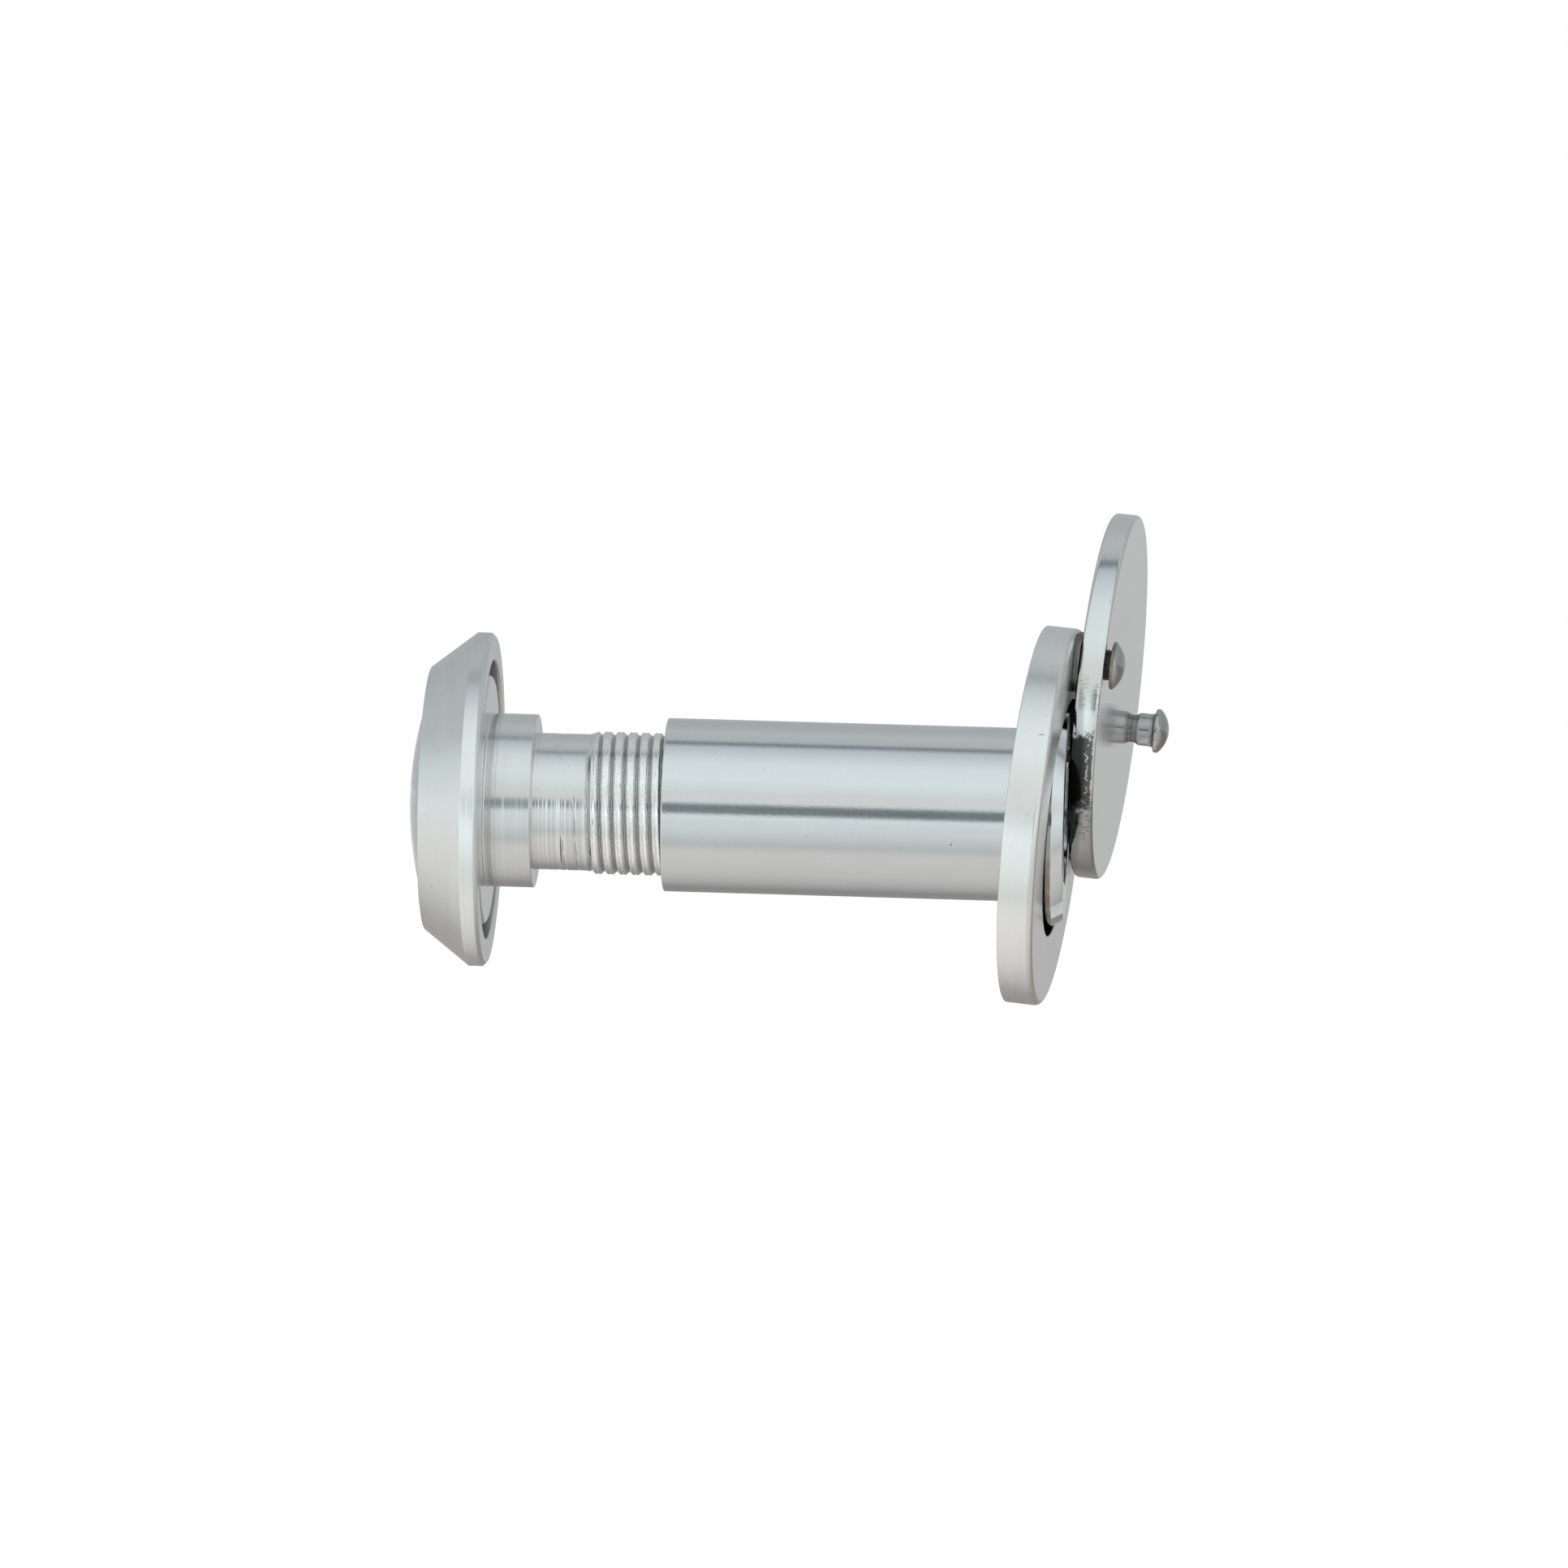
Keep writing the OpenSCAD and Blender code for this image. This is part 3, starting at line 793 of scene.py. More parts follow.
def to_photo(points):
    """Where points of the frame show in the photograph."""
    right, up, back, stand = (np.array(v) for v in camera_axes())
    ray = np.asarray(points, float).reshape(-1, 3) - stand
    depth = -(ray @ back)
    x = PHOTO_W / 2 + (ray @ right) / depth * PIXELS_PER_SLOPE
    y = PHOTO_H / 2 - (ray @ up) / depth * PIXELS_PER_SLOPE
    return np.stack([x, y], axis=-1)


def tree_of(pieces):
    """One search tree over pieces as finished and placed."""
    vertices, faces = [], []
    graph = bpy.context.evaluated_depsgraph_get()
    for piece in pieces:
        mesh = piece.evaluated_get(graph).to_mesh()
        start = len(vertices)
        place = piece.matrix_world
        vertices += [place @ v.co for v in mesh.vertices]
        faces += [[start + i for i in face.vertices] for face in mesh.polygons]
        piece.evaluated_get(graph).to_mesh_clear()
    return BVHTree.FromPolygons(vertices, faces)


def on_surface(point_name, piece):
    """The place on a piece that shows at a named image point, or the nearest to its ray."""
    x, y = IMAGE_POINTS[point_name]
    right, up, back, stand = camera_axes()
    ray = right * (x - PHOTO_W / 2) + up * (PHOTO_H / 2 - y)
    ray = (ray - back * PIXELS_PER_SLOPE).normalized()
    tree = tree_of([piece])
    hit = tree.ray_cast(stand, ray)
    if hit[0] is not None:
        return hit[0]
    near_ray = [tree.find_nearest(stand + ray * (CAMERA_DISTANCE + s * MM)) for s in range(-30, 31, 2)]
    return min(near_ray, key=lambda found: found[3])[0]


def marked(piece, point_name):
    place = on_surface(point_name, piece)
    piece[point_name] = list(place)
    return place


# ---------------------------------------------------------------- pieces


def ripple(u, v, seed, columns=64, rows=64):
    """Smooth seeded unevenness from -1 to 1, which repeats once round in v."""
    table = np.random.default_rng(seed).uniform(-1, 1, (rows, columns))
    u = u % rows
    v = v % columns
    i, j = np.floor(u).astype(int), np.floor(v).astype(int)
    a, b = u - i, v - j
    a, b = a * a * (3 - 2 * a), b * b * (3 - 2 * b)
    i1, j1 = (i + 1) % rows, (j + 1) % columns
    i, j = i % rows, j % columns
    first = table[i, j] * (1 - a) + table[i1, j] * a
    second = table[i, j1] * (1 - a) + table[i1, j1] * a
    return first * (1 - b) + second * b


def rises(value, start, end):
    """A smooth step from 0 at start to 1 at end."""
    t = np.clip((value - start) / (end - start), 0, 1)
    return t * t * (3 - 2 * t)


def row_marks(count, height, seed):
    """Turning marks: one depth for each row, some narrow and some wide, never outwards."""
    marks = np.random.default_rng(seed)
    narrow = marks.normal(0, 1, count)
    wide = np.convolve(marks.normal(0, 1, count + 8), np.hanning(11)[1:-1], "valid")
    both = height * (0.55 * narrow + 0.75 * wide / 1.6)
    return -np.abs(both)[:, None]


def rim_shape(x, angle, radius):
    """The turning marks on the bezel's straight rim."""
    on_rim = (np.abs(radius - BEZEL_RADIUS) < 0.001 * MM) & (x > -1.3 * MM) & (x < -0.4 * MM)
    return radius + np.where(on_rim, row_marks(len(x), sizes().rim_marks, 5), 0)


def run_out(wound, turn_share):
    """How deep the run-out grooves are, in mm, at each place on the neck."""
    line = np.floor(wound + 0.5)
    depth = np.zeros_like(wound)
    for number, first, deep in RUN_OUT_GROOVES:
        shown = rises(turn_share, first, first + 0.05) * (1 - rises(turn_share, 0.82, 0.97))
        depth = np.where(line == number, deep * shown, depth)
    return depth


def tube_shape(x, angle, radius):
    """The tube's turned detail: neck marks, the run-out grooves and the torn right-hand thread."""
    own = sizes()
    on_shoulder = (np.abs(radius - BARREL_RADIUS) < 0.001 * MM) & (x > 0.04 * MM) & (x < 3.55 * MM)
    outside = np.abs(radius - own.neck_radius) < 0.0001 * MM
    outside &= (x > 3.75 * MM) & (x < THREAD_END)
    turns = (x - THREAD_START) / own.thread_pitch
    wound = turns - angle / TURN
    phase = wound % 1.0
    ridge = np.interp(phase, RIDGE_AT, RIDGE_HEIGHT)
    dip = own.crest_dip / own.thread_height
    in_crest = (phase > 0.36) & (phase < 0.64)
    ridge = np.where(in_crest, 1 - dip * (1 - ridge), ridge)
    grown = rises(turns, -0.75, 0.15) * (1 - rises(x, THREAD_END - 0.6 * MM, THREAD_END))
    seam = rises(np.minimum(angle, TURN - angle), 0.0, 0.2)
    tear = seam * ripple(wound * 9 + 40, angle / TURN * 22, 11, 64, 256)
    tear = tear + 0.45 * ripple(x / (0.08 * MM) + 7, angle / TURN * 192, 12)
    thread = own.thread_height * ridge + own.thread_tear * tear * (0.35 + 0.65 * ridge)
    valley = np.exp(-((((phase + 0.5) % 1.0) - 0.5) / 0.055) ** 2)
    plain = 1 - rises(x, THREAD_START - 0.7 * MM, THREAD_START - 0.2 * MM)
    carved = own.neck_radius + row_marks(len(x), own.neck_marks, 3) * plain
    carved = carved - run_out(wound, angle / TURN) * MM * valley - 0.02 * MM * valley * grown
    carved = carved + grown * np.minimum(thread, own.thread_height)
    radius = radius + np.where(on_shoulder, row_marks(len(x), own.shoulder_marks, 4), 0)
    return np.where(outside, carved, radius)


def tube_section():
    """The outer tube's section, with close rows where the shoulder, neck and thread are."""
    barrel, neck = BARREL_RADIUS / MM, sizes().neck_radius / MM
    section = rounded([
        (-2.65, 8.30, 0.1), (-2.65, 9.27, 0.08), (-1.65, 9.27, 0.05), (-1.65, 10.0, 0.1),
        (-0.1, 10.0, 0.5), (-0.1, barrel, 0.12), (3.66, barrel, 0.12), (3.66, neck, 0.06),
        (29.5, 5.20, 0.08), (29.5, 4.49, 0.12), (3.46, 4.49, 0.0), (3.46, 3.99, 0.0),
        (2.66, 3.99, 0.05),
    ])
    section = with_rows(section, barrel, 0.05, 3.53, 0.07)
    return with_rows(section, neck, 3.80, 29.26, 0.0625)


def rim_painted_light(tree, place, along, radius, base):
    """Painted light on the bezel's straight rim: painted shade at the top and a painted highlight from
    its middle down.
    """
    rim = along.inside(-1.3 * MM, -0.3 * MM)
    rim = rim * radius.step(BEZEL_RADIUS - 0.4 * MM, BEZEL_RADIUS - 0.2 * MM)
    z = place.parts()[2]
    # painted highlight by height: lighter towards the bottom, strongest round the middle
    rim_light_level = z.step(8.0 * MM, 2.0 * MM) * 0.22
    rim_light_level = rim_light_level + z.inside(-3.0 * MM, 0.5 * MM, 3.0 * MM) * 0.09
    return tree.tinted(base, 1.0 + rim * (rim_light_level - 0.08))


class DOORVIEWER_OT_bezel(bpy.types.Operator):
    """Makes the bevelled ring on the outside of the door"""

    bl_idname = "door_viewer.bezel"
    bl_label = "Bezel"

    def execute(self, context):
        edge, rim = sizes().bezel_edge / MM, BEZEL_RADIUS / MM
        metal = turned_metal(
            "satin_bezel_plating", finishes().bezel, finishes().satin, 0.0022 * MM, 0.0014 * MM,
            # painted shade in the recess at the bezel's back, and painted light on its rim
            smear=0.8, pits=0.4, painted_shade=[(-1.75, -0.12, 9.2, 11.18, 0.28)], tone_and_painted_light=rim_painted_light,
        )
        section = rounded([
            (-4.95, 8.70, edge), (-4.95, 10.5, edge), (-1.35, rim, edge), (-0.30, rim, 0.1),
            (0.0, 13.0, 0.1), (0.0, 11.1, 0.16), (-1.65, 11.1, 0.12), (-1.65, 9.3, 0.1),
            (-4.2, 9.3, 0.1), (-4.2, 8.70, 0.08),
        ])
        section = with_rows(section, rim, -1.25, -0.42, 0.06)
        put_in("bezel_turned", section, metal, "bezel_ring", steps=288, shape=rim_shape)
        return {"FINISHED"}


def thread_tone_and_painted_light(tree, place, along, radius, base):
    """A darker grey tone over the whole thread, painted shade in its roots, and pale bare metal on its
    crests, made lighter still as a painted highlight.
    """
    crest, neck = tuple(finishes().crest), sizes().neck_radius
    thread = along.inside(THREAD_START + 0.1 * MM, THREAD_END + 0.1 * MM, 0.5 * MM)
    high = radius.step(neck + 0.06 * MM, neck + 0.19 * MM)
    root = radius.step(neck + 0.07 * MM, neck + 0.02 * MM)
    specks = tree.noise(place, 9000.0, 3.0, 0.7)
    # painted highlight on the crests, with specks
    crest_painted_highlight = tree.tinted(crest, 0.72 + specks.step(0.36, 0.60) * 0.30)
    base = tree.blend(thread * 0.24, base, 0.16)
    # painted shade in the thread's roots
    base = tree.blend(thread * root * (0.15 + specks.step(0.45, 0.6) * 0.30), base, 0.05)
    return tree.blend(thread * high * 0.95, base, crest_painted_highlight)


class DOORVIEWER_OT_tube(bpy.types.Operator):
    """Makes the outer tube: flange, shoulder, neck and right-hand thread"""

    bl_idname = "door_viewer.tube"
    bl_label = "Outer tube"

    def execute(self, context):
        stand_in = placed("tube_plain", turned("tube_plain", tube_section(), None, steps=96))
        context.view_layer.update()
        scratch = on_surface("neck_scratch", stand_in)
        bpy.data.objects.remove(stand_in)
        metal = turned_metal(
            "bare_turned_tube", finishes().tube, 0.19, 0.0026 * MM, 0.0022 * MM, smear=0.8, pits=0.4,
            marks=[(scratch, (0.085 * MM, 3.0 * MM, 2.6 * MM), 0.72)],
            # painted shade on the flange's rim inside the bezel's recess, and painted light on the thread
            painted_shade=[(-1.7, -0.35, 9.7, 10.1, 0.55)], tone_and_painted_light=thread_tone_and_painted_light,
        )
        piece = put_in(
            "tube_turned", tube_section(), metal, "outer_tube", steps=240, shape=tube_shape,
        )
        piece["neck_scratch"] = list(scratch)
        return {"FINISHED"}


class DOORVIEWER_OT_sleeve(bpy.types.Operator):
    """Makes the sleeve with its head and coin slots"""

    bl_idname = "door_viewer.sleeve"
    bl_label = "Sleeve"

    def execute(self, context):
        barrel = BARREL_RADIUS / MM
        section = rounded([
            (14.0, 5.75, 0.25), (14.0, barrel, 0.12), (44.45, barrel, 0.08), (44.45, 8.75, 0.1),
            (45.02, 8.75, 0.05), (45.9, 8.22, 0.12), (45.9, 5.46, 0.1), (42.7, 5.46, 0.0),
            (42.7, 4.26, 0.08), (41.7, 4.26, 0.08), (41.7, 5.99, 0.0), (23.0, 5.99, 0.1),
            (23.0, 5.75, 0.1),
        ])
        slot = Matrix.Rotation(COIN_SLOT_CLOCK, 4, "X") @ Matrix.Translation((45.75 * MM, 0, 0))
        slot_size = (1.5 * MM, 2.0 * MM, 20 * MM)
        cutter = block_cutter("coin_slot", slot_size, slot)
        piece = put_in(
            "sleeve_turned", section, None, "sleeve", steps=256, cutters=[cutter],
        )
        nick = marked(piece, "sleeve_nick")
        metal = turned_metal(
            "polished_sleeve_plating", finishes().sleeve, finishes().polish - 0.04, 0.0003 * MM,
            0.0042 * MM, smear=0.35, pits=0.25, marks=[(nick, (0.13 * MM, 0.5 * MM, 0.13 * MM), 0.6)],
            # brown tarnishing with painted shade on the back edge of the head
            tarnish_and_shade=[(44.35, 44.92, 8.3, 8.9, 0.9)],
        )
        # painted highlight: the slot's faces are much lighter metal than the sleeve
        slot_highlight_metal = turned_metal("slot_painted_highlight", SLOT_PAINTED_HIGHLIGHT, 0.55, 0.0003 * MM, 0.0004 * MM)
        dressed(piece, metal)
        piece.data.materials.append(slot_highlight_metal)
        into_slot = slot.inverted()
        deep, wide = slot_size[0] / 2 + 0.01 * MM, slot_size[1] / 2 + 0.001 * MM
        for face in piece.data.polygons:
            middle = into_slot @ face.center
            face.material_index = int(abs(middle.x) < deep and abs(middle.y) < wide)
        return {"FINISHED"}


class DOORVIEWER_OT_rosette(bpy.types.Operator):
    """Makes the flat disc under the sleeve's head"""

    bl_idname = "door_viewer.rosette"
    bl_label = "Rosette"

    def execute(self, context):
        edge = sizes().disc_edge / MM
        section = rounded([
            (-2.8, 7.4, 0.12), (-2.8, 15.05, 0.12), (0.0, 15.05, edge), (0.0, 9.5, 0.12),
            (-2.1, 9.5, 0.08), (-2.1, 7.4, 0.08),
        ], 8)
        tail = [(-3.3, 0), (-3.3, 1.86), (-2.75, 1.86), (-2.0, 1.26), (0.5, 1.26), (0.5, 0)]
        cutters = [turned_cutter("rivet_hole", tail, pivot_place())]
        piece = put_in(
            "rosette_turned", section, None, "rosette", steps=288,
            place=rosette_place(), cutters=cutters,
        )
        own = marked(piece, "rosette_scratch") - piece.location
        # painted light: the rosette's plating is lighter than the cover's
        metal = turned_metal(
            "satin_rosette_plating_painted_lighter", finishes().rosette, finishes().satin - 0.04, 0.0016 * MM,
            0.0012 * MM, smear=0.8, pits=0.5, marks=[(own, (0.35 * MM, 0.4 * MM, 0.07 * MM), 0.5)],
            # painted shade, near black, in the counterbore round the sleeve's head
            axis=normal_of(rosette_place()), painted_shade=[(-2.2, -0.15, 7.3, 9.6, 0.88)],
        )
        dressed(piece, metal)
        return {"FINISHED"}


class DOORVIEWER_OT_cover(bpy.types.Operator):
    """Makes the swivel cover"""

    bl_idname = "door_viewer.cover"
    bl_label = "Cover"

    def execute(self, context):
        edge = sizes().cover_edge / MM
        thick, wide = COVER_THICKNESS / MM, COVER_RADIUS / MM
        section = rounded([(0, 0, 0), (0, wide, edge), (thick, wide, edge), (thick, 0, 0)], 8)
        pivot = cover_place() @ Matrix.Translation(pivot_side() * PIVOT_RADIUS)
        through = [(-0.5, 0), (-0.5, 1.26), (2.5, 1.26), (2.5, 0)]
        tail = [(-0.5, 0), (-0.5, 1.43), (0.0, 1.43), (0.6, 0.83), (2.5, 0.83), (2.5, 0)]
        cutters = [
            turned_cutter("pivot_hole", through, pivot), turned_cutter("knob_hole", tail, knob_place()),
        ]
        piece = put_in(
            "cover_turned", section, None, "cover", steps=288,
            place=cover_place(), cutters=cutters,
        )
        # the painted dark reflection on the cover's rim is placed at this image point
        own = marked(piece, "cover_painted_reflection") - piece.location
        metal = turned_metal(
            "polished_cover_plating", finishes().disc, finishes().polish, 0.0006 * MM, 0.0009 * MM,
            smear=0.7, pits=0.6, axis=normal_of(cover_place()), tone_and_painted_light=rim_painted_reflection(own),
        )
        dressed(piece, metal)
        return {"FINISHED"}


class DOORVIEWER_OT_studs(bpy.types.Operator):
    """Makes the rivet, the knob and the washer"""

    bl_idname = "door_viewer.studs"
    bl_label = "Studs"

    def execute(self, context):
        head = (COVER_GAP + COVER_THICKNESS + RIVET_SLACK) / MM
        lie = pivot_place()
        metal = turned_metal(
            "dull_rivet_plating", finishes().stud, 0.17, 0.0014 * MM, 0.0014 * MM, smear=0.9,
            # painted shade on the shank in the gap under the head; it also darkens the middle of the
            # tail's end face
            pits=0.8, axis=normal_of(lie), painted_shade=[(-2.8, head - 0.02, 0.0, 1.3, 0.92)],
            # brown tarnishing with painted shade round the rim of the head's underside
            tarnish_and_shade=[(head - 0.05, head + 0.24, 1.5, 2.0, 0.9)],
        )
        rivet = [
            (-2.75, 0, 0), (-2.75, 1.8, 0.08), (-2.0, 1.2, 0.1), (head, 1.2, 0.05),
            (head, 1.9, 0.1), (head + 0.2, 1.9, 0.08), *dome(3.76, 0.82, head + 0.23, 1),
        ]
        put_in("rivet_turned", rounded(rivet), metal, "pivot_rivet", steps=128, place=lie)
        thick = COVER_GAP / MM - 0.02
        washer = rounded([(0, 1.26, 0.05), (0, 2.4, 0.08), (thick, 2.4, 0.08), (thick, 1.26, 0.05)], 4)
        # painted shade: the washer in the gap under the cover is made dark
        washer_shade_metal = turned_metal(
            "washer_painted_shade", WASHER_PAINTED_SHADE, 0.4, 0.001 * MM, 0.001 * MM, smear=0.9, pits=0.6,
            axis=normal_of(lie),
        )
        put_in("washer_turned", washer, washer_shade_metal, "pivot_washer", steps=96, place=lie)
        metal = turned_metal(
            "dull_knob_plating", finishes().stud, 0.13, 0.0012 * MM, 0.0012 * MM, smear=0.9,
            pits=0.6, axis=normal_of(knob_place()),
            # painted shade on the knob's neck and under the edge of its head
            painted_shade=[(1.9, 2.45, 0.7, 1.4, 0.45), (3.7, 3.9, 1.2, 1.8, 0.6)],
        )
        knob = [
            (0.05, 0, 0), (0.05, 1.35, 0.05), (0.6, 0.8, 0.05), (2.0, 0.8, 0.05), (2.0, 1.12, 0.04),
            (2.22, 1.13, 0.2), (2.58, 1.325, 0.25), (3.45, 1.325, 0.3), (3.82, 1.42, 0.2),
            (3.86, 1.775, 0.06), (4.18, 1.775, 0.1), *dome(3.5, 0.75, 4.2, 1),
        ]
        put_in(
            "knob_turned", rounded(knob), metal, "cover_knob", steps=128, place=knob_place(),
        )
        return {"FINISHED"}


class DOORVIEWER_OT_lenses(bpy.types.Operator):
    """Makes the four glass lenses"""

    bl_idname = "door_viewer.lenses"
    bl_label = "Lenses"

    def execute(self, context):
        glass = clear_glass("clear_lens_glass", finishes().glass)
        thick_glass = clear_glass("thick_front_glass", finishes().front_glass)
        objective = [*reversed(dome(17.34, 1.4, -4.95, -1)), (-4.2, 8.67, 0), (-4.2, 9.27, 0.06)]
        objective += [(-2.95, 9.27, 0.06), *dome(13.2, 2.4, -2.95, -1)]
        pieces = (
            ("objective_glass", objective, "objective_lens"),
            ("second_glass", lens(3.46, 5.66, 4.46, 7.98, 0.7, -1), "second_lens"),
            ("third_glass", lens(26.2, 27.4, 4.46, 6.66, 0.6), "third_lens"),
            ("eyepiece_glass", lens(42.7, 44.0, 5.4, 7.94, 0.7), "eyepiece_lens"),
        )
        for name, section, node in pieces:
            tint = thick_glass if node == "objective_lens" else glass
            put_in(name, rounded(section, 4), tint, node, steps=160)
        return {"FINISHED"}


class DOORVIEWER_OT_rings(bpy.types.Operator):
    """Makes the gasket, the spacer and the two rings that hold the lenses"""

    bl_idname = "door_viewer.rings"
    bl_label = "Rings"

    def execute(self, context):
        plastic = moulded("black_moulded_plastic", finishes().plastic, 0.5, 3000.0)
        fibre = moulded("pressed_gasket_fibre", finishes().fibre, 0.8, 2200.0)
        bare = turned_metal("bare_ring", finishes().tube, 0.28, 0.0018 * MM, 0.0012 * MM)
        gasket = [(-2.95, 8.3, 0.05), (-2.95, 9.27, 0.05), (-2.65, 9.27, 0.05), (-2.65, 8.3, 0.05)]
        spacer = [(5.66, 3.86, 0.05), (5.66, 4.46, 0.05), (26.2, 4.46, 0.05), (26.2, 3.86, 0.05)]
        eye = [
            (44.0, 4.0, 0.0), (44.0, 5.4, 0.08), (45.4, 5.4, 0.12), (45.4, 4.6, 0.06),
            (44.8, 4.0, 0.08),
        ]
        holder = [(27.4, 3.36, 0.08), (27.4, 4.46, 0.08), (28.9, 4.46, 0.1), (28.9, 3.36, 0.1)]
        for name, section, metal, node, slot in (
            ("gasket_pressed", gasket, fibre, "lens_gasket", "gasket_fibre"),
            ("spacer_moulded", spacer, plastic, "lens_spacer", "black_plastic"),
            ("eye_ring_moulded", eye, plastic, "eyepiece_ring", "black_plastic"),
        ):
            put_in(name, rounded(section, 4), metal, node, steps=192)
        slot_place = Matrix.Translation((28.6 * MM, 0, 0))
        cutter = block_cutter("key_slot", (0.6 * MM, 12 * MM, 1.0 * MM), slot_place)
        put_in(
            "holder_turned", rounded(holder, 4), bare, "lens_retaining_ring",
            steps=192, cutters=[cutter],
        )
        return {"FINISHED"}


# ---------------------------------------------------------------- camera and studio


class DOORVIEWER_OT_camera(bpy.types.Operator):
    """Puts the camera where the photograph was taken"""

    bl_idname = "door_viewer.camera"
    bl_label = "Camera"

    def execute(self, context):
        data = bpy.data.cameras.new("photo_camera")
        data.sensor_fit = "AUTO"
        data.sensor_width = CAMERA_SENSOR
        data.lens = CAMERA_LENS
        data.clip_start = 0.01
        data.clip_end = 20.0
        right, up, back, stand = camera_axes()
        turn = Matrix((right, up, back)).transposed().to_4x4()
        context.scene.camera = placed("photo_camera", data, Matrix.Translation(stand) @ turn)
        return {"FINISHED"}


def rays_that_see(tree):
    """Light Path as (rays from the camera or through glass, rays off metal)."""
    path = tree.node("ShaderNodeLightPath")
    straight = (path["Is Camera Ray"] + path["Is Transmission Ray"]).clamped()
    return straight, path["Is Glossy Ray"]


# What metal sees round the object: degrees above straight ahead, and the colour there.
STUDIO_CARDS = (
    (-180, 0.56, 0.57, 0.57), (-175, 0.50, 0.50, 0.50), (-168, 0.31, 0.30, 0.29),
    (-140, 0.33, 0.32, 0.32), (-118, 0.56, 0.55, 0.54), (-101, 0.68, 0.67, 0.65),
    (-87, 0.72, 0.71, 0.69), (-74, 0.75, 0.74, 0.73), (-63, 0.76, 0.75, 0.73),
    (-52, 0.60, 0.64, 0.63), (-41, 0.70, 0.75, 0.75), (-29, 0.79, 0.86, 0.87),
    (-21, 0.80, 0.87, 0.88), (-11, 0.90, 0.99, 1.01), (-4, 0.88, 0.96, 0.97), (8, 0.84, 0.87, 0.86),
    (17, 0.84, 0.87, 0.86), (27, 0.88, 0.96, 0.97), (38, 0.93, 1.03, 1.05), (48, 0.92, 1.00, 1.02),
    (59, 0.90, 0.98, 1.00), (70, 0.79, 0.87, 0.90), (80, 0.68, 0.75, 0.78), (87, 0.60, 0.67, 0.70),
    (90, 0.24, 0.29, 0.32), (94, 0.24, 0.29, 0.31), (97, 0.56, 0.60, 0.61), (115, 0.60, 0.64, 0.65),
    (131, 0.52, 0.55, 0.56), (150, 0.47, 0.50, 0.51), (172, 0.47, 0.50, 0.51),
    (180, 0.56, 0.57, 0.57),
)


# The photographer's edges as metal sees them, in degrees: where the figure begins, where it is
# whole. The first two are its heights and the other two its sides.
FIGURE_TOP = (4.3, 1.8)
FIGURE_FOOT = (-11.7, -9.2)
FIGURE_RIGHT = (10.5, 7.5)
FIGURE_LEFT = (-8.2, -6.4)


def studio_sky(studio):
    """Plain light all round, white to the camera and through glass.

    Metal sees the photographer's studio in it: pale walls, a grey floor and a dark figure.
    """
    world = bpy.data.worlds.new("studio_sky")
    bpy.context.scene.world = world
    world.cycles.sampling_method = "NONE"
    tree = Tree(world)
    x, y, z = tree.node("ShaderNodeTexCoord")["Generated"].parts()
    height = tree.node("ShaderNodeMath", {"operation": "ARCTAN2"}, {0: z, 1: 0.0 - y})["Value"]
    side = tree.node("ShaderNodeMath", {"operation": "ARCSINE"}, {0: x})["Value"]

    stops = [(0.5 + degrees / 360.0, shade) for degrees, *shade in STUDIO_CARDS]
    cards = tree.ramp(height * (1.0 / TURN) + 0.5, stops)
    left = side.step(math.radians(-5.0), math.radians(-12.0))
    low_left = left * height.step(0.0, math.radians(-10.0))
    cards = tree.tinted(cards, 1.0 + low_left * 0.30)
    up_edge = height.step(*(math.radians(edge) for edge in FIGURE_TOP))
    low_edge = height.step(*(math.radians(edge) for edge in FIGURE_FOOT))
    wide = side.step(*(math.radians(edge) for edge in FIGURE_RIGHT))
    wide = wide * side.step(*(math.radians(edge) for edge in FIGURE_LEFT))
    photographer = up_edge * low_edge * wide
    seen_by_metal = tree.blend(photographer, cards, PHOTOGRAPHER)
    light = tree.blend(z.step(-0.4, 0.9), studio.sky * 0.85, studio.sky * 1.15)
    straight, glossy = rays_that_see(tree)
    shade = tree.blend(glossy, light, seen_by_metal)
    shade = tree.blend(straight, shade, 1.0)
    background = tree.node("ShaderNodeBackground", {}, {"Color": shade, "Strength": 1.0})["Background"]
    tree.node("ShaderNodeOutputWorld", {}, {"Surface": background})


